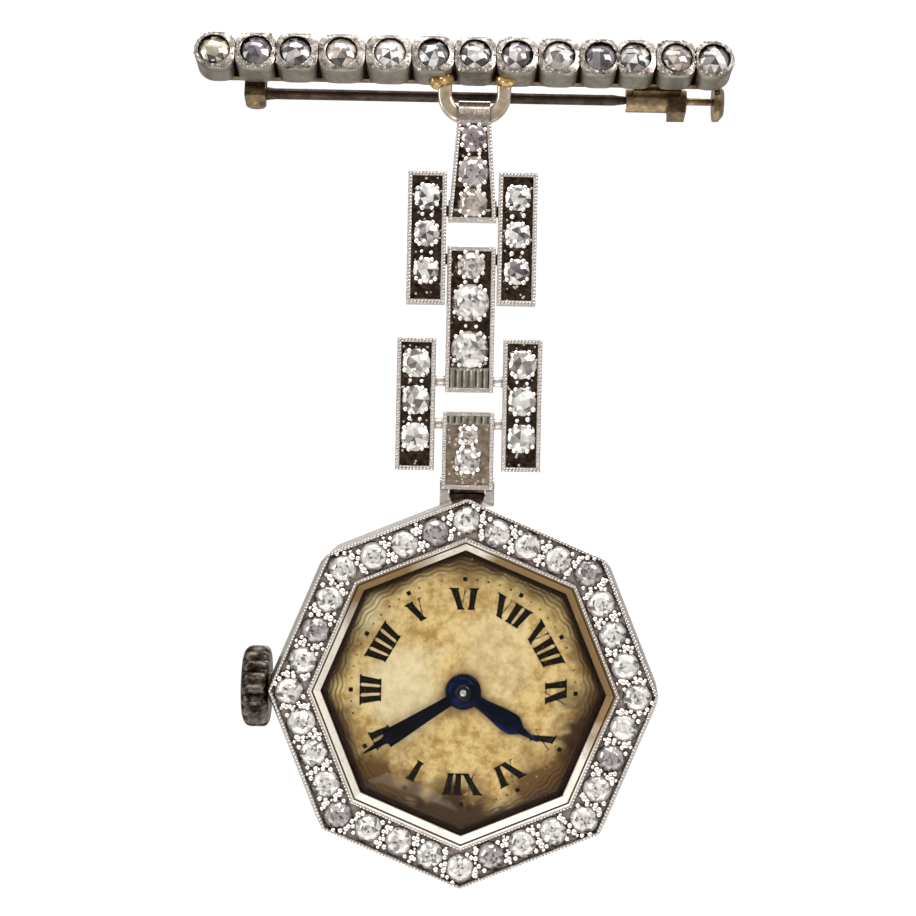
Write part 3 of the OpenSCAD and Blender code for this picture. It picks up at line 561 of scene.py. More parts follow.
def dial_material():
    """Gilt dial gone patchy with age: stains at its edges, a pale middle and fine speckles; it also darkens
    toward its rim, and painted shade darkens it round what stands on it.
    """
    n = Nodes("dial_face")
    where = n.place(WATCH.origin)
    warp = n.noise(where, 0.55, 4.0, 0.6, 0.4)
    cloud = n.noise(where, 1.5, 5.0, 0.65)
    speck = n.noise(where, 7.0, 3.0, 0.7)
    colour = n.mix(n.remap(cloud, 0.36, 0.6), srgb(184, 146, 84), srgb(232, 206, 146))
    for (u, v), reach, strength, stain in STAINS:
        away = n.node("VectorMath", {0: where, 1: (u, 0.0, v)}, operation="SUBTRACT").outputs[0]
        ragged = n.math("ADD", n.from_axis(away), n.vary(warp, 0.28 * reach, -0.28 * reach))
        share = n.math("MULTIPLY", n.remap(ragged, reach, 0.5 * reach), strength)
        colour = n.mix(n.math("MULTIPLY", share, n.remap(cloud, 0.3, 0.6, 0.9, 1.0)), colour, stain)
    colour = n.mix(n.remap(speck, 0.66, 0.74, 0, 0.55), colour, srgb(112, 74, 34))
    flat = n.from_axis(where)
    colour = n.mix(n.remap(flat, 1.9, 1.0, 0, 0.55), colour, srgb(150, 112, 60))
    edge = n.math("ADD", n.octagon(where), n.vary(warp, 0.7, -0.7))
    colour = n.mix(n.remap(edge, 7.2, 8.2, 0, 0.9), colour, srgb(84, 54, 22))
    axes = n.node("SeparateXYZ", {0: where})
    turn = n.math("ARCTAN2", axes.outputs["X"], axes.outputs["Z"])
    wave = n.math("MULTIPLY", n.math("SINE", n.math("MULTIPLY", turn, float(TURNING_WAVES))), TURNING_WAVE)
    lines = n.math("SINE", n.math("MULTIPLY", n.math("ADD", flat, wave), 2 * math.pi / TURNING_PITCH))
    cut = n.math("MULTIPLY", n.remap(lines, -0.2, 1.0), n.remap(flat, CHAPTER_R, CHAPTER_R + 0.4, 0, 0.7))
    colour = n.mix(n.math("MULTIPLY", cut, n.remap(cloud, 0.35, 0.6, 0.5, 1.0)), colour, srgb(60, 34, 12))
    # Painted shade: dark brown where ambient occlusion finds the dial crowded by the wall and the raised marks.
    colour = n.mix(n.corners(0.7, 0.2, 0.7), srgb(44, 22, 8), colour)
    rough = n.vary(cloud, 0.42, 0.6)
    normal = n.bump(n.math("ADD", speck, n.math("MULTIPLY", cloud, 0.7)), 0.02)
    return n.principled(Base_Color=colour, Metallic=0.3, Roughness=rough, Normal=normal, Specular_IOR_Level=0.2)


def ink_material():
    """Black dial paint, cracked and thin in places."""
    n = Nodes("dial_ink")
    where = n.place()
    cloud = n.noise(where, 6.0, 4.0, 0.7)
    colour = n.mix(n.remap(cloud, 0.58, 0.68), (0.004, 0.002, 0.001), srgb(84, 56, 28))
    return n.principled(Base_Color=colour, Roughness=n.vary(cloud, 0.5, 0.8), Normal=n.bump(cloud, 0.02),
                        Specular_IOR_Level=0.1)


def faded_ink_material():
    """What is left of the thin brush strokes: brown lines that come and go."""
    n = Nodes("faded_ink")
    where = n.place()
    cloud = n.noise(where, 3.0, 4.0, 0.7)
    colour = n.mix(n.remap(cloud, 0.42, 0.56), srgb(44, 24, 10), srgb(170, 138, 88))
    return n.principled(Base_Color=colour, Roughness=n.vary(cloud, 0.4, 0.6))


blued = blued_material("blued_steel", (0.002, 0.003, 0.008), (0.004, 0.010, 0.055), (0.04, 0.06, 0.24))
blackened = blued_material("blackened_steel", (0.002, 0.002, 0.003), (0.006, 0.006, 0.016), (0.03, 0.035, 0.09))
crown_metal = crown_material()
wall_metal = wall_material()
ruby = ruby_material()
dial_face = dial_material()
ink = ink_material()
faded_ink = faded_ink_material()


# ---- Stones ----
# Painted light: shares of a stone's tint that its facets take by chance, standing for the light and reflections
# they return
EVEN_LIGHT = (0.16, 0.4, 0.62, 0.85, 1.0, 1.0)
STRONG_LIGHT = (0.06, 0.22, 0.5, 0.8, 1.35, 1.7)
TABLE_LIGHT = (0.2, 0.5, 0.75, 1.0, 1.0, 1.0, 1.0)
UNLIT = (0.04, 0.04, 0.04)


def stone_ring(seat, turn, count, radius, w, spread=0.0, lift=0.0):
    """Points round a seat, which chance moves by a share of the radius and by a height."""
    points = []
    for i in range(count):
        a = turn + 2 * math.pi * i / count
        chance = random.uniform(-1, 1)
        far = radius * (1 + spread * chance)
        points.append((seat.u + far * math.cos(a), seat.v + far * math.sin(a), w + lift * chance))
    return points


def girdled(seat, turn, widths, girdle, n):
    """The flat back and the girdle of a stone: three rings of n points, and their faces."""
    points = []
    for radius, w in zip(widths, (seat.w, seat.w + girdle * 0.5, seat.w + girdle)):
        points += stone_ring(seat, turn, n, radius, w)
    faces = [tuple(range(n))]
    for k in (0, n):
        faces += [(k + i, k + (i + 1) % n, k + n + (i + 1) % n, k + n + i) for i in range(n)]
    return points, faces


def rose_cut(seat, r, tint, girdle, levels=EVEN_LIGHT):
    """A domed stone with a flat back: six large facets meet at its top and eighteen small ones ring them."""
    high, crown = 0.42 * r, seat.w + girdle
    turn = random.uniform(0, math.pi / 3)
    points, faces = girdled(seat, turn, (0.93 * r, r, 0.97 * r), girdle, 12)
    plain = len(faces)
    points += [(u, v, w + random.uniform(-0.03, 0.05) * r)
               for u, v, w in stone_ring(seat, turn, 6, 0.58 * r, crown + 0.62 * high, spread=0.06)]
    points.append((seat.u + random.uniform(-0.1, 0.1) * r, seat.v + random.uniform(-0.1, 0.1) * r,
                   crown + high))
    rim, mid, top = 24, 36, 42
    for i in range(6):
        j = (i + 1) % 6
        faces += [(mid + i, mid + j, top)]
        faces += [(mid + i, rim + 2 * i + 1, mid + j)]
        faces += [(mid + i, rim + 2 * i, rim + 2 * i + 1), (mid + j, rim + 2 * i + 1, rim + 2 * j)]
    return points, faces, [UNLIT] * plain + facet_tones(len(faces) - plain, tint, levels)


def old_cut(seat, r, tint, girdle):
    """An old-cut stone: a small table broken up by facets whose painted tones stand for the facets seen through
    it, ringed by kites.
    """
    high, crown, n = 0.4 * r, seat.w + girdle, 8
    half = math.pi / n
    turn = random.uniform(0, half)
    points, faces = girdled(seat, turn, (0.94 * r, r, 0.98 * r), girdle, 2 * n)
    plain = len(faces)
    points += stone_ring(seat, turn + half, n, 0.76 * r, crown + 0.5 * high, lift=0.02 * r)
    points += stone_ring(seat, turn, n, 0.5 * r, crown + high, lift=0.02 * r)
    points += stone_ring(seat, turn + half, n, 0.28 * r, crown + high - 0.02 * r, lift=0.05 * r)
    points.append((seat.u + random.uniform(-0.08, 0.08) * r, seat.v + random.uniform(-0.08, 0.08) * r,
                   crown + high - 0.06 * r))
    rim, kite, table, inner, top = 32, 48, 56, 64, 72
    for i in range(n):
        j = (i + 1) % n
        beyond = rim + (2 * i + 2) % 16
        faces += [(rim + 2 * i, rim + 2 * i + 1, kite + i), (rim + 2 * i + 1, beyond, kite + i)]
        faces += [(rim + 2 * i, kite + i, table + i), (kite + i, beyond, table + j)]
        faces += [(kite + i, table + j, table + i), (table + i, table + j, inner + i)]
        faces += [(inner + i, table + j, inner + j), (inner + i, inner + j, top)]
    return points, faces, [UNLIT] * plain + facet_tones(len(faces) - plain, tint, TABLE_LIGHT)


def deep_rose_cut(seat, r, tint, girdle):
    """A rose cut whose facets differ strongly in brightness."""
    return rose_cut(seat, r, tint, girdle, levels=STRONG_LIGHT)


def facet_tones(count, tint, levels):
    """A painted tone of light for each facet: the stone's tint at a brightness that chance picks from the
    levels.
    """
    return [tuple(min(1.0, c * level) for c in tint)
            for level in (random.choice(levels) * random.uniform(0.85, 1.1) for _ in range(count))]


WHITE = (1.0, 0.97, 0.95)
GREY = (0.52, 0.47, 0.48)
DARK_GREY = (0.22, 0.19, 0.21)
PLUM = (0.36, 0.30, 0.33)
STRAW = (0.55, 0.52, 0.37)
BROWNISH = (0.62, 0.53, 0.46)
CLOUDY = (0.76, 0.71, 0.68)
PINKISH = (0.78, 0.72, 0.7)


def stones(name, node, place, body, cut, tints, share=0.97, girdle=0.1):
    """A faceted stone in every seat of a CAD node of stones."""
    parts = Parts(place)
    for i, seat in enumerate(seats(node, place)):
        points, faces, tones = cut(seat, seat.r * share, tints[i % len(tints)], girdle)
        parts.add(points, faces, smooth=False, tones=tones)
    piece(name, parts, body, [diamond], [node])


# ---- Brooch ----
def brooch_collets():
    """Round cups that meet halfway between the stones, with a rough rim of bright metal round each stone;
    painted shade darkens their sides and makes their insides near black.
    """
    low, high = extent("bar_collets", BAR)
    back, front, r = low[2], high[2], (high[1] - low[1]) / 2
    places = seats("bar_diamonds", BAR)
    parts = Parts(BAR)
    floor = places[0].w
    around = 64
    angles = np.arange(around) * 2 * math.pi / around
    cos, sin = np.cos(angles), np.sin(angles)
    # Share of the cup's outline, share of the stone's circle, height
    profile = [
        (0.86, 0, back), (0.94, 0, back + 0.06), (0.97, 0, front - 0.9), (1.0, 0, front - 0.45),
        (1.0, 0, front - 0.22), (0.97, 0, front - 0.12), (0.5, 0.5, front - 0.07), (0.12, 0.88, front - 0.03),
        (0, 1.0, front - 0.06), (0, 0.985, front - 0.16), (0, 0.985, floor), (0, 0.6, floor),
    ]
    # Slot of each profile row: the sides in the darker satin copy of platinum, partly painted shade; the rim;
    # the insides in near-black painted shade.
    finish_and_shade = [0] * 5 + [1] * 3 + [2] * 4
    slots = [k for k in finish_and_shade for _ in range(around)]
    for i, s in enumerate(places):
        left = (s.u - places[i - 1].u) / 2 if i else r
        right = (places[i + 1].u - s.u) / 2 if i + 1 < len(places) else r
        wide = np.where(cos < 0, left, right) + 0.01
        open_end = (i == 0) * (cos < 0) + (i + 1 == len(places)) * (cos > 0)
        power = np.where(open_end, 1.0, CUP_POWER)
        outline = np.stack((np.sign(cos) * np.abs(cos) ** power * wide,
                            np.sign(sin) * np.abs(sin) ** power * (r - HIDDEN)), 1)
        circle = np.stack((cos, sin), 1) * (s.r - HIDDEN)
        centre = np.array((s.u, s.v))
        rings = [np.column_stack((centre + outline * a + circle * b, np.full(around, w)))
                 for a, b, w in profile]
        parts.add(*stacked(rings, closed_loop=True), slot=slots)
        for _ in range(RIM_GRAINS):
            a = random.uniform(0, 2 * math.pi)
            spread = random.uniform(0.0, 0.85)
            size = random.uniform(0.05, 0.13)
            near = (s.r + 0.03) * np.array((math.cos(a), math.sin(a)))
            u, v = centre + outline[int(a / (2 * math.pi) * around) % around] * spread + near * (1 - spread)
            parts.add(*bead((u, v, front - 0.06 - 0.08 * spread), size, random.uniform(0.35, 0.7)), slot=1)
    piece("brooch_collets", parts, "brooch",
          [platinum_satin_shaded, rim_metal, pocket_shade_metal], ["bar_collets"])


def bail_band():
    """The half ring under the bar: flat-sided where it shows, round where the strap swings on it."""
    low, high = extent("bail", hang(0))
    wire = (high[2] - low[2]) / 2
    half, bottom, bend = high[0] - wire, low[1] + wire, 1.4
    path = [(-half, bottom + 2.75), (-half, bottom + bend + 0.6)]
    path += [(-half + bend - bend * math.cos(a), bottom + bend - bend * math.sin(a))
             for a in np.linspace(0, math.pi / 2, 14)]
    path += [(-u, v) for u, v in path[::-1]]
    path = [p for i, p in enumerate(path) if i == 0 or math.dist(p, path[i - 1]) > 1e-6]
    turns = np.arange(28) * 2 * math.pi / 28
    cos, sin = np.cos(turns), np.sin(turns)
    rings = []
    for i, p in enumerate(path):
        a, b = np.array(path[max(i - 1, 0)]), np.array(path[min(i + 1, len(path) - 1)])
        ahead = (b - a) / np.linalg.norm(b - a)
        flat = min(1.0, max(0.0, (abs(p[0]) - (half - bend)) / (0.6 * bend)))
        power = 2 / (2 + 2.5 * flat)
        x = np.sign(cos) * np.abs(cos) ** power * (wire - HIDDEN)
        y = np.sign(sin) * np.abs(sin) ** power * (wire - HIDDEN)
        rings.append(np.column_stack((p[0] - ahead[1] * x, p[1] + ahead[0] * x, y)))
    parts = Parts(hang(0))
    parts.add(*stacked(rings))
    piece("bail_band", parts, "brooch", [bail_metal], ["bail"], sharp=60)


def bail_solder():
    """Gold solder that ran out where the bail's legs meet the bar."""
    low, high = extent("bail", hang(0))
    leg = high[0] - (high[2] - low[2]) / 2
    parts = Parts(hang(0))
    for side, count in ((-1, 6), (1, 4)):
        for _ in range(count):
            at = (side * (leg + random.uniform(-0.15, 0.6)), random.uniform(0.62, 0.85),
                  random.uniform(0.0, 0.45))
            parts.add(*bead(at, random.uniform(0.42, 0.6), 0.8, 18, 9))
    piece("bail_solder", parts, "brooch", [solder_gold], sharp=60)


# ---- Straps and buckles ----
def ground(parts, left, right, bottom, top, stones_here, floor, slope=None, ribbed=None):
    """Carved ground round the stones: it drops toward each stone and rises in the corners between them.

    Between the two heights of ribbed it is cut into upright flutes. Slope gives its width at each height.
    """
    us = np.linspace(left, right, round((right - left) / GROUND_STEP))
    vs = np.linspace(bottom, top, round((top - bottom) / GROUND_STEP))

    def height(u, v):
        away = np.full(u.shape, 9.0)
        for s in stones_here:
            away = np.minimum(away, np.hypot(u - s.u, v - s.v) - s.r)
        ripple = 0.02 * np.sin(9 * u + 3 * np.sin(4 * v)) * np.cos(11 * v)
        carved = floor + 0.015 + np.clip(away * 0.3, -0.01, 0.07) + ripple * (away > 0)
        if ribbed is None:
            return carved
        inside = np.clip((v - ribbed[0]) / 0.12, 0, 1) * np.clip((ribbed[1] - v) / 0.12, 0, 1)
        flutes = floor - 0.01 + 0.15 * np.abs(np.sin(math.pi * u / RIB_PITCH)) ** 0.8
        return carved * (1 - inside) + flutes * inside

    points, faces = relief(us, vs, height, floor - 0.02)
    slots = 0
    if ribbed is not None:
        slots = [int(ribbed[0] < points[f[0], 1] < ribbed[1]) for f in faces]
    if slope is not None:
        points[:, 0] *= slope(points[:, 1])
    parts.add(points, faces, slot=slots)


def corner_grains(parts, s, spots, w):
    """Grains pushed over a stone's edge, at the given angles in degrees."""
    for spot in spots:
        a = math.radians(spot + random.uniform(-6, 6))
        far = s.r + 0.02
        r = GRAIN_R * random.uniform(0.85, 1.12)
        parts.add(*bead((s.u + far * math.cos(a), s.v + far * math.sin(a), w), r, 0.8, 10, 5))


def grain_work(parts, here, front, lean, field, strays):
    """Grains over the edges of a column of stones, pairs between them, and stray ones in the field round them.

    The outermost grains of a stone lean by an angle from its sides.
    """
    spots = (lean, 62, 118, 180 - lean, 180 + lean, 242, 298, 360 - lean)
    for s in here:
        corner_grains(parts, s, spots, front - 0.05)
    column = sorted(here, key=lambda s: s.v)
    for a, b in zip(column, column[1:]):
        if math.dist((a.u, a.v), (b.u, b.v)) - a.r - b.r < 0.12:
            continue
        for side in (-0.32, 0.32):
            at = ((a.u + b.u) / 2 + side + random.uniform(-0.06, 0.06),
                  (a.v + a.r + b.v - b.r) / 2 + random.uniform(-0.06, 0.06), front - 0.06)
            parts.add(*bead(at, random.uniform(0.11, 0.17), 0.8, 9, 5))
    left, right, bottom, top = field
    for _ in range(strays):
        u, v = random.uniform(left, right), random.uniform(bottom, top)
        if min(math.dist((u, v), (s.u, s.v)) - s.r for s in here) > 0.1:
            parts.add(*bead((u, v, front - 0.1), random.uniform(0.06, 0.12), 0.6))


def buckle_dressing(name):
    """Grounds, milgrain edges and grains of a buckle's two side bars."""
    place = hang(middle(name)[2])
    here = seats(name + "_diamonds", place)
    grounds, edges = Parts(place), Parts(place)
    for bar in node_solids(name, place):
        low, high = bar.min(0), bar.max(0)
        mine = [s for s in here if low[0] < s.u < high[0]]
        field = (low[0] + RIM_W, high[0] - RIM_W, low[1] + RIM_W, high[1] - RIM_W)
        ground(grounds, *field, mine, BAR_FRONT - RIM_H)
        inset = RIM_W * 0.5
        left, right, bottom, top = low[0] + inset, high[0] - inset, low[1] + inset, high[1] - inset
        milgrain(edges, [(left, bottom), (right, bottom), (right, top), (left, top)], BAR_FRONT - 0.01)
        grain_work(edges, mine, BAR_FRONT, 38, field, 70)
    piece(name + "_ground", grounds, name, [ground_metal])
    piece(name + "_milgrain", edges, name, [platinum_bright])


def strap_dressing(name, rod, ground_finish, ribbed=None):
    """Grounds, milgrain edges and grains of a strap, which narrows evenly from one end to the other."""
    place = hang(middle(rod)[2])
    points = node_points(name, place)
    front = points[np.abs(points[:, 2] - PLATE_FRONT) < 0.01]
    top, bottom = front[:, 1].max(), front[:, 1].min()
    half = {v: np.abs(front[np.abs(front[:, 1] - v) < 0.02][:, 0]).max() for v in (top, bottom)}
    here = seats(name + "_diamonds", place)

    def slope(v):
        """Width of the ground at a height, as a share of its width at the top."""
        here_half = half[bottom] + (half[top] - half[bottom]) * (v - bottom) / (top - bottom)
        return (here_half - RIM_W) / (half[top] - RIM_W)

    grounds, edges = Parts(place), Parts(place)
    wide = half[top] - RIM_W
    ground(grounds, -wide, wide, bottom + RIM_W, top - RIM_W, here, PLATE_FRONT - RIM_H, slope, ribbed)
    inset = RIM_W * 0.5
    for side in (-1, 1):
        ends = [(side * (half[v] - inset), v + lift) for v, lift in ((bottom, inset), (top, -inset))]
        milgrain(edges, ends, PLATE_FRONT - 0.01, closed=False)
    narrow = min(half.values()) - RIM_W
    field_bottom = ribbed[1] if ribbed and ribbed[1] < 0 else bottom + RIM_W
    grain_work(edges, here, PLATE_FRONT, 36, (-narrow, narrow, field_bottom, top - RIM_W - 0.4), 60)
    piece(name + "_ground", grounds, name, [ground_finish, platinum_satin_shaded])
    piece(name + "_milgrain", edges, name, [platinum_bright])


# ---- Case ----
def octagon(r):
    """Corners of the case's octagon, one corner up, at a centre-to-corner radius."""
    return [(r * math.sin(math.radians(45 * i)), r * math.cos(math.radians(45 * i))) for i in range(8)]


def octagon_share(angle):
    """How far the octagon's edge lies at each angle, as a share of its centre-to-corner radius."""
    return math.cos(math.pi / 8) / np.cos(angle % (math.pi / 4) - math.pi / 8)


def upright_ring(r, angle, w):
    """Points at angles clockwise from the top of the watch."""
    return np.column_stack((r * np.sin(angle), r * np.cos(angle), np.zeros(len(angle)) + w))


def widest(node):
    """The furthest that a CAD node reaches from the watch's axis."""
    points = node_points(node, WATCH)
    return np.hypot(points[:, 0], points[:, 1]).max()


def bezel_dressing():
    """Two milgrain edges and the grains that hold the stones between them."""
    points = node_points("bezel", WATCH)
    rim_w = points[:, 2].max()
    rim = points[points[:, 2] > rim_w - 0.1]
    radii = np.hypot(rim[:, 0], rim[:, 1])
    here = sorted(seats("bezel_diamonds", WATCH), key=lambda s: math.atan2(s.v, s.u))
    edges = Parts(WATCH)
    milgrain(edges, octagon(radii.max() - 0.09), rim_w - 0.05)
    milgrain(edges, octagon(radii.min() + 0.1), rim_w - 0.03)
    for s in here:
        heading = math.degrees(math.atan2(s.v, s.u))
        side = round((heading - 22.5) / 45) * 45 + 22.5
        corner_grains(edges, s, [side + d for d in (48, 72, 108, 132, 228, 252, 288, 312)], s.w + 0.24)
    for s, after in zip(here, here[1:] + here[:1]):
        u, v = (s.u + after.u) / 2, (s.v + after.v) / 2
        out = np.array((u, v)) / math.hypot(u, v)
        for across, size in ((-0.84, 0.12), (-0.56, 0.21), (0.05, 0.1), (0.56, 0.21), (0.84, 0.13)):
            far = across + random.uniform(-0.05, 0.05)
            drift = random.uniform(-0.07, 0.07)
            at = (u + out[0] * far - out[1] * drift, v + out[1] * far + out[0] * drift, s.w + 0.18)
            edges.add(*bead(at, size * random.uniform(0.85, 1.1), 0.85, 10, 5))
    piece("bezel_milgrain", edges, "case", [platinum_bright])


def dial_plate():
    """Eight-sided dial with sunk rings of engine turning outside its chapter ring."""
    top = node_points("dial", WATCH)[:, 2].max()
    hole, thick, around = 0.75, 0.3, 768
    angle = np.arange(around) * 2 * math.pi / around
    edge = (widest("dial") - 0.01) * octagon_share(angle)
    shares = np.concatenate((np.linspace(0, 0.35, 10)[:-1], np.linspace(0.35, 1, 64)))
    rings = []
    for share in shares:
        r = hole + (edge - hole) * share
        wave = TURNING_WAVE * np.sin(TURNING_WAVES * angle)
        cut = 0.5 + 0.5 * np.sin(2 * math.pi * (r + wave) / TURNING_PITCH)
        strength = np.clip((r - CHAPTER_R) / 0.3, 0, 1)
        rays = np.clip((3.4 - r) / 1.5, 0, 1) * 0.006 * np.sin(90 * angle)
        rings.append(upright_ring(r, angle, top - 0.03 * strength * cut + rays - 0.006))
    rings += [upright_ring(r, angle, top - thick) for r in (edge, hole)]
    parts = Parts(WATCH)
    parts.add(*stacked(rings, closed_loop=True))
    piece("dial_plate", parts, "case", [dial_face], ["dial"], sharp=70)


GLYPHS = {
    # letter: width, thick strokes and thin strokes, each from (u, v) to (u, v) in shares of width and height
    "I": (0.60, [((0.5, 0), (0.5, 1))], []),
    "V": (1.02, [((0.2, 1), (0.5, 0))], [((0.5, 0), (0.84, 1))]),
    "X": (1.06, [((0.2, 1), (0.8, 0))], [((0.16, 0), (0.84, 1))]),
}
ROMAN = ["I", "II", "III", "IIII", "V", "VI", "VII", "VIII", "IX", "X", "XI", "XII"]
BOX = [(0, 1, 2, 3), (4, 5, 6, 7), (0, 1, 5, 4), (1, 2, 6, 5), (2, 3, 7, 6), (3, 0, 4, 7)]


def on_ray(degrees, u, v, w):
    """A point u across and v out along a ray of the dial, clockwise from the top."""
    phi = math.radians(degrees)
    return (math.sin(phi) * v + math.cos(phi) * u, math.cos(phi) * v - math.sin(phi) * u, w)


def tile(parts, degrees, corners, low, high, slot):
    """A thin plate on a ray of the dial with four (across, out) corners."""
    parts.add([on_ray(degrees, u, v, w) for w in (low, high) for u, v in corners], BOX, smooth=False, slot=slot)


def stroke(a, b, wide):
    """Corners of a flat bar from a to b with its ends cut level with the line of writing."""
    (au, av), (bu, bv) = a, b
    shift = wide / 2 * math.hypot(bu - au, bv - av) / abs(bv - av)
    return [(au - shift, av), (au + shift, av), (bu + shift, bv), (bu - shift, bv)]


def numerals():
    """Radial Roman hours with their tops outward; the dial is fitted with XII toward the wearer's feet."""
    top = node_points("dial", WATCH)[:, 2].max()
    low_r, high_r, thick, thin, serif = 5.1, 6.45, 0.4, 0.09, 0.1
    parts = Parts(WATCH)
    for hour, text in enumerate(ROMAN, 1):
        start = -sum(GLYPHS[c][0] for c in text) / 2

        def draw(corners, slot, high):
            flare = [(u * (0.8 + 0.32 * (v - low_r) / (high_r - low_r)), v) for u, v in corners]
            tile(parts, 30 * hour + 180, flare, top - 0.02, top + high, slot)

        for letter in text:
            width, heavy, light = GLYPHS[letter]
            for strokes, wide, slot, high in ((heavy, thick, 0, 0.018), (light, thin, 1, 0.012)):
                for a, b in strokes:
                    ends = [(start + p[0] * width, low_r + p[1] * (high_r - low_r)) for p in (a, b)]
                    draw(stroke(*ends, wide), slot, high)
                    for u, v in ends:
                        inward = serif if v < (low_r + high_r) / 2 else -serif
                        draw(stroke((u, v), (u, v + inward), wide + 0.14), slot, 0.015)
            start += width
    piece("dial_numerals", parts, "case", [ink, faded_ink])


def minute_marks():
    """A dot for every minute, and a larger square one at each hour."""
    top = node_points("dial", WATCH)[:, 2].max()
    parts = Parts(WATCH)
    for minute in range(60):
        half, slot = (0.13, 0) if minute % 5 == 0 else (0.06, 1)
        low, high = MINUTE_R - half, MINUTE_R + half
        corners = [(-half, low), (half, low), (half, high), (-half, high)]
        tile(parts, 6 * minute, corners, top - 0.02, top + 0.015, slot)
    piece("dial_minute_marks", parts, "case", [ink, faded_ink])


def hand(parts, node, stations, low, ridge):
    """A roof-shaped blade of (distance, half width) stations, which points the way its CAD hand does."""
    points = node_points(node, WATCH)
    tip = points[np.argmax(np.hypot(points[:, 0], points[:, 1]))]
    heading = math.degrees(math.atan2(tip[0], tip[1]))
    edge = low + 0.08
    rings = []
    for far, half in stations:
        section = [(-half, low), (-half, edge), (-half * 0.82, edge + 0.03), (0, low + ridge),
                   (half * 0.82, edge + 0.03), (half, edge), (half, low)]
        rings.append(np.array([on_ray(heading, u, far, w) for u, w in section]))
    parts.add(*stacked(rings))


def hub(parts, low, profile, around=64, loop=True, slot=0):
    """A turned ring or knob of (radius, height over low) points."""
    parts.add(*turned([(r, low + w) for r, w in profile], around, loop), slot=slot)


def hands():
    """Blued hands on round hubs, under a dark cap with a bright steel centre."""
    low = node_points("hour_hand", WATCH)[:, 2].min()
    tip = widest("hour_hand")
    hour = Parts(WATCH)
    hand(hour, "hour_hand", [
        (0.7, 0.38), (1.3, 0.38), (2.2, 0.5), (3.0, 0.64), (3.55, 0.68), (3.9, 0.6), (4.2, 0.36),
        (4.35, 0.24), (tip - 0.3, 0.1), (tip - 0.02, 0.04)], low, 0.15)
    hub(hour, low, [(0.63, 0), (1.08, 0), (1.12, 0.04), (1.1, 0.12), (0.98, 0.2), (0.63, 0.22)])
    piece("hour_hand_blade", hour, "hour_hand", [blued], ["hour_hand"], sharp=50)
    low = node_points("minute_hand", WATCH)[:, 2].min()
    tip = widest("minute_hand")
    minute = Parts(WATCH)
    hand(minute, "minute_hand", [
        (0.6, 0.34), (1.4, 0.34), (3.4, 0.44), (5.0, 0.54), (5.6, 0.56), (5.62, 0.3), (5.8, 0.22),
        (tip - 0.4, 0.09), (tip - 0.02, 0.04)], low, 0.14)
    hub(minute, low, [(0.42, 0), (0.98, 0), (1.0, 0.04), (0.95, 0.12), (0.8, 0.22), (0.6, 0.28), (0.42, 0.29)],
        slot=1)
    piece("minute_hand_blade", minute, "minute_arbor", [blackened, blued], ["minute_hand"],
          sharp=50)
    cap = Parts(WATCH)
    high = node_points("cannon_pinion", WATCH)[:, 2].max()
    hub(cap, high, [(AXIS_R, -0.25), (0.5, -0.25), (0.55, -0.16), (0.52, -0.05), (0.42, 0.03), (0.26, 0.05),
                    (AXIS_R, 0.05)], 48, loop=False)
    hub(cap, high, [(AXIS_R, 0), (0.2, 0), (0.2, 0.07), (0.12, 0.1), (AXIS_R, 0.11)], 32, loop=False, slot=1)
    piece("hand_cap", cap, "minute_arbor", [cap_metal, steel], sharp=60)


def crystal_dome():
    """Domed eight-sided crystal."""
    low, high = (p[2] for p in extent("crystal", WATCH))
    radius, around = widest("crystal"), 160
    angle = np.arange(around) * 2 * math.pi / around
    sides = octagon_share(angle)

    def ring(r, w, roundness=0.0):
        scale = sides * (1 - roundness) + math.cos(math.pi / 8) * roundness
        return upright_ring(r * scale, angle, w)

    def dome(wall, foot, rise):
        """Rings up a dome that starts as an octagon and turns round toward its top."""
        rings = []
        for t in np.linspace(0, 1, 22)[:-1]:
            lean = t * math.pi / 2
            rings.append(ring(max(wall * math.cos(lean), 0.05), foot + rise * math.sin(lean) ** 0.9, t ** 1.5))
        return rings

    outer = [ring(radius, low), ring(radius, low + 0.28), ring(CRYSTAL_WALL, low + 0.3)]
    outer += dome(CRYSTAL_WALL, low + 0.85, high - low - 0.85)
    inner = [ring(CRYSTAL_WALL - 0.3, low)] + dome(CRYSTAL_WALL - 0.3, low + 0.7, high - low - 1.0)
    outer_points, faces = stacked(outer, closed_ends=False)
    inner_points, inner_faces = stacked(inner, closed_ends=False)
    count = len(outer_points)
    faces.append(tuple(range(count - around, count)))
    inner_faces.append(tuple(range(len(inner_points) - around, len(inner_points))))
    faces += [tuple(i + count for i in f) for f in inner_faces]
    faces += [(i, (i + 1) % around, count + (i + 1) % around, count + i) for i in range(around)]
    parts = Parts(WATCH)
    parts.add(np.vstack((outer_points, inner_points)), faces)
    piece("crystal_dome", parts, "case", [glass], ["crystal"], sharp=40)


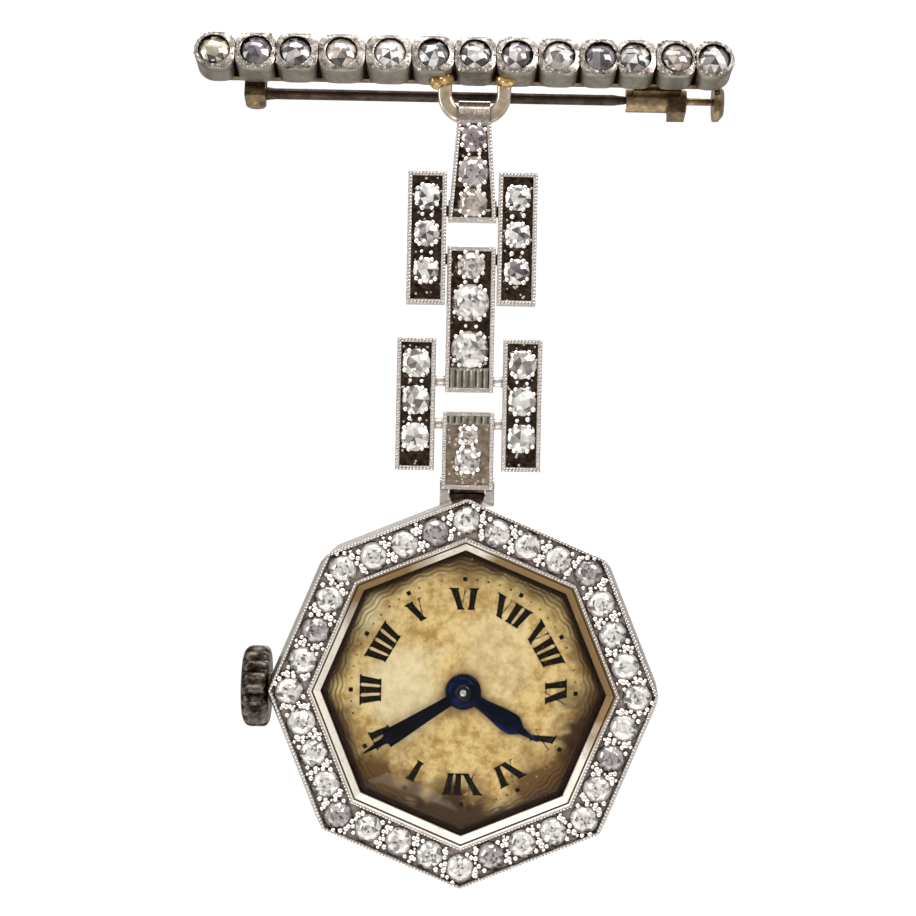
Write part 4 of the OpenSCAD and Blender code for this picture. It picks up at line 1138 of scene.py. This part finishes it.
def crown_cap():
    """Fluted winding crown with a low dome."""
    low, high = extent("crown", WATCH)
    r, inner_u, stem_w = (high[1] - low[1]) / 2, high[0], (low[2] + high[2]) / 2
    flutes, steps, long = 18, 8, 1.8
    around = flutes * steps
    angle = np.arange(around) * 2 * math.pi / around
    groove = (0.5 + 0.5 * np.cos(angle * flutes)) ** 1.6
    # Radius, distance from the case out of the crown's length, depth of the flutes
    profile = [
        (1.02, 0.75, 0.0), (1.02, 0.0, 0.0), (r - 0.42, 0.0, 0.0), (r - 0.3, 0.03, 0.25), (r - 0.1, 0.14, 0.8),
        (r - 0.01, 0.3, 1.0), (r, 0.6, 1.0), (r, 1.15, 1.0), (r - 0.05, 1.35, 1.0), (r - 0.18, 1.52, 0.8),
        (r - 0.4, 1.64, 0.35), (r - 0.62, 1.7, 0.0), (r - 1.2, 1.76, 0.0), (r - 1.9, 1.79, 0.0),
        (0.02, long, 0.0),
    ]
    rings = []
    for radius, far, depth in profile:
        here = radius - 0.24 * depth * groove
        u = inner_u - far / long * (high[0] - low[0])
        rings.append(np.column_stack((np.full(around, u), here * np.cos(angle), stem_w + here * np.sin(angle))))
    parts = Parts(WATCH)
    parts.add(*stacked(rings))
    piece("crown_cap", parts, "crown", [crown_metal], ["crown"], sharp=50)


# ---- Finish of the CAD's own pieces, and painted shade on some of their faces ----
FINISHES = [
    (gold, ["bar_rail", "pin_bracket", "pin_rivet", "catch_barrel", "catch_slider", "pendant_tube"]),
    (pin_metal, ["pin_stem"]),
    (platinum, ["upper_strap", "middle_strap", "lower_strap", "upper_buckle", "lower_buckle",
                "upper_buckle_rod_top", "upper_buckle_rod_bottom", "lower_buckle_rod_top",
                "lower_buckle_rod_bottom", "case_band", "bezel", "case_back"]),
    (ground_metal, ["lug_pin"]),
    (brass, ["main_plate", "mainspring_barrel", "center_wheel", "third_wheel", "fourth_wheel", "escape_wheel",
             "balance_wheel", "minute_wheel", "hour_wheel"]),
    (steel, ["barrel_bridge", "train_bridge", "balance_cock", "ratchet_wheel", "click", "pallet_fork",
             "winding_stem", "winding_pinion", "cannon_pinion"]),
    (blued, ["hairspring", "bridge_screws"]),
    (ruby, ["jewels"]),
]


def finish_and_shade_region(node, place, materials, choose):
    """Gives a CAD node's faces further materials, real finishes and painted shade alike; choose(u, v, w) of a
    face's centre is 0 for its first one.
    """
    mesh = frame["nodes"][node].data
    for material in materials:
        mesh.materials.append(material)
    points = node_points(node, place)
    for face in mesh.polygons:
        face.material_index = choose(*points[list(face.vertices)].mean(0))


def finish_and_shade_cad_nodes():
    """Finishes of the nodes that are shown as the CAD made them, and of the faces that differ on them, some of
    them painted shade.
    """
    for material, nodes in FINISHES:
        for node in nodes:
            mesh = frame["nodes"][node].data
            mesh.materials.clear()
            mesh.materials.append(material)
    channel = min(s.w for s in seats("bezel_diamonds", WATCH))

    def bezel_face(u, v, w):
        if abs(w - channel) < 0.05:
            return 1
        return 2 if WALL_LOW < w < WALL_HIGH and math.hypot(u, v) < WALL_R else 0

    finish_and_shade_region("bezel", WATCH, [channel_metal, wall_metal], bezel_face)
    lug = hang(middle("lug_pin")[2])
    # Painted shade: the eye of the lower strap and the web of the case between the lugs take the near-black
    # ground metal, as shade in the recess round the lug pin.
    finish_and_shade_region("lower_strap", lug, [ground_metal],
                  lambda u, v, w: int(math.hypot(v, w) < 0.8 and abs(u) < 1.3 and v < 0.75))
    finish_and_shade_region("case_band", lug, [ground_metal], lambda u, v, w: int(abs(u) < 1.17 and v > -1.6))
    # Painted shade: the upper strap's loop round the bail, under the bar, takes the darker tongue copy of
    # platinum.
    bail_z = extent("bail", hang(0))[0][1] + 0.45
    finish_and_shade_region("upper_strap", hang(bail_z), [tongue_shade_metal], lambda u, v, w: int(math.hypot(v, w) < 1.01))


# ---- Studio ----
def area_light(name, at, size, power):
    """A rectangular light aimed at the middle of the object."""
    data = bpy.data.lights.new(name, "AREA")
    data.shape = "RECTANGLE"
    data.size, data.size_y = size[0] * MM, size[1] * MM
    data.energy = power
    light = bpy.data.objects.new(name, data)
    bpy.context.scene.collection.objects.link(light)
    light.location = Vector(at) * MM
    light.rotation_euler = (Vector(LIT_POINT) * MM - light.location).to_track_quat("-Z", "Y").to_euler()


def studio():
    """White surroundings, a soft light on either side and above, and a pale floor well below."""
    area_light("key", (150, -170, 130), (130, 110), 0.34)
    area_light("left", (-190, -110, 20), (70, 160), 0.16)
    area_light("top", (-20, -60, 200), (180, 80), 0.2)
    area_light("low", (-60, -190, -150), (90, 60), 0.07)
    area_light("back", (60, 200, 120), (150, 120), 0.3)
    n = Nodes("studio", bpy.data.worlds, "OutputWorld")
    direction = n.node("SeparateXYZ", {0: n.node("TexCoord").outputs["Generated"]}).outputs["Z"]
    height = n.node("Math", {0: direction, 1: 0.5, 2: 0.5}, operation="MULTIPLY_ADD").outputs[0]
    sky = n.node("ValToRGB", {0: height})
    ramp = sky.color_ramp.elements
    ramp[0].position, ramp[0].color = 0.0, (0.32, 0.31, 0.29, 1)
    ramp[1].position, ramp[1].color = 1.0, (1.1, 1.1, 1.12, 1)
    for position, value in ((0.4, 0.75), (0.5, 0.42), (0.62, 0.7)):
        ramp.new(position).color = (value, value * 0.98, value * 0.94, 1)
    lit = n.node("Background", {0: sky.outputs[0], 1: 0.85}).outputs[0]
    shown = n.node("Background", {0: (1, 1, 1, 1), 1: 1.05}).outputs[0]
    seen = n.node("LightPath").outputs["Is Camera Ray"]
    bpy.context.scene.world = n.show(n.node("MixShader", {0: seen, 1: lit, 2: shown}))
    floor = bpy.data.meshes.new("floor")
    level, reach = -75.0 * MM, 65.0 * MM
    floor.from_pydata([(reach * math.cos(a), reach * math.sin(a), level)
                       for a in np.arange(96) * 2 * math.pi / 96], [], [tuple(range(96))])
    n = Nodes("floor_paper")
    paper = n.mix(n.noise(n.place(), 0.3), (0.86, 0.86, 0.85), (0.9, 0.9, 0.89))
    floor.materials.append(n.principled(Base_Color=paper, Roughness=0.8))
    obj = bpy.data.objects.new("floor", floor)
    bpy.context.scene.collection.objects.link(obj)
    bpy.context.scene.view_settings.view_transform = "Standard"


def camera():
    """A long lens straight in front of the object, turned a little."""
    data = bpy.data.cameras.new("camera")
    data.sensor_width = SENSOR
    data.lens = SENSOR * (CAMERA_FAR - FRONT_PLANE) / FRAME_WIDTH
    data.clip_start = 1 * MM
    data.clip_end = 10000 * MM
    view = bpy.data.objects.new("camera", data)
    bpy.context.scene.collection.objects.link(view)
    view.location = (CAMERA_AIM[0] * MM, -CAMERA_FAR * MM, CAMERA_AIM[1] * MM)
    view.rotation_mode = "XYZ"
    view.rotation_euler = (math.radians(90), math.radians(CAMERA_ROLL), 0)
    bpy.context.scene.camera = view


random.seed(23)
camera()
studio()
finish_and_shade_cad_nodes()
brooch_collets()
stones("brooch_stones", "bar_diamonds", BAR, "brooch", deep_rose_cut,
       [STRAW, DARK_GREY, GREY, BROWNISH, CLOUDY, CLOUDY, CLOUDY, GREY, CLOUDY, DARK_GREY, CLOUDY, BROWNISH,
        CLOUDY], 0.98, GROUND_DEPTH + 0.02)
bail_band()
bail_solder()
for buckle in ("upper_buckle", "lower_buckle"):
    buckle_dressing(buckle)
    stones(buckle + "_stones", buckle + "_diamonds", hang(middle(buckle)[2]), buckle,
           rose_cut if buckle == "lower_buckle" else deep_rose_cut,
           [WHITE, WHITE, WHITE, CLOUDY] if buckle == "lower_buckle" else [WHITE, GREY, CLOUDY, WHITE],
           share=1.12, girdle=GROUND_DEPTH + 0.02)
for strap, rod, ground_finish, ribbed, tints, share in (
        ("upper_strap", "upper_buckle_rod_top", ground_metal, None, [PLUM, GREY, BROWNISH], 1.1),
        ("middle_strap", "upper_buckle_rod_bottom", ground_metal, (-8.1, -6.85), [PINKISH, WHITE, WHITE], 1.04),
        ("lower_strap", "lower_buckle_rod_bottom", beige_ground, (-0.1, 0.5), [CLOUDY, CLOUDY], 1.04)):
    strap_dressing(strap, rod, ground_finish, ribbed)
    stones(strap + "_stones", strap + "_diamonds", hang(middle(rod)[2]), strap, old_cut, tints, share,
           GROUND_DEPTH + 0.02)
bezel_dressing()
stones("bezel_stones", "bezel_diamonds", WATCH, "case", old_cut, [WHITE, WHITE, WHITE, GREY, WHITE])
dial_plate()
numerals()
minute_marks()
hands()
crystal_dome()
crown_cap()
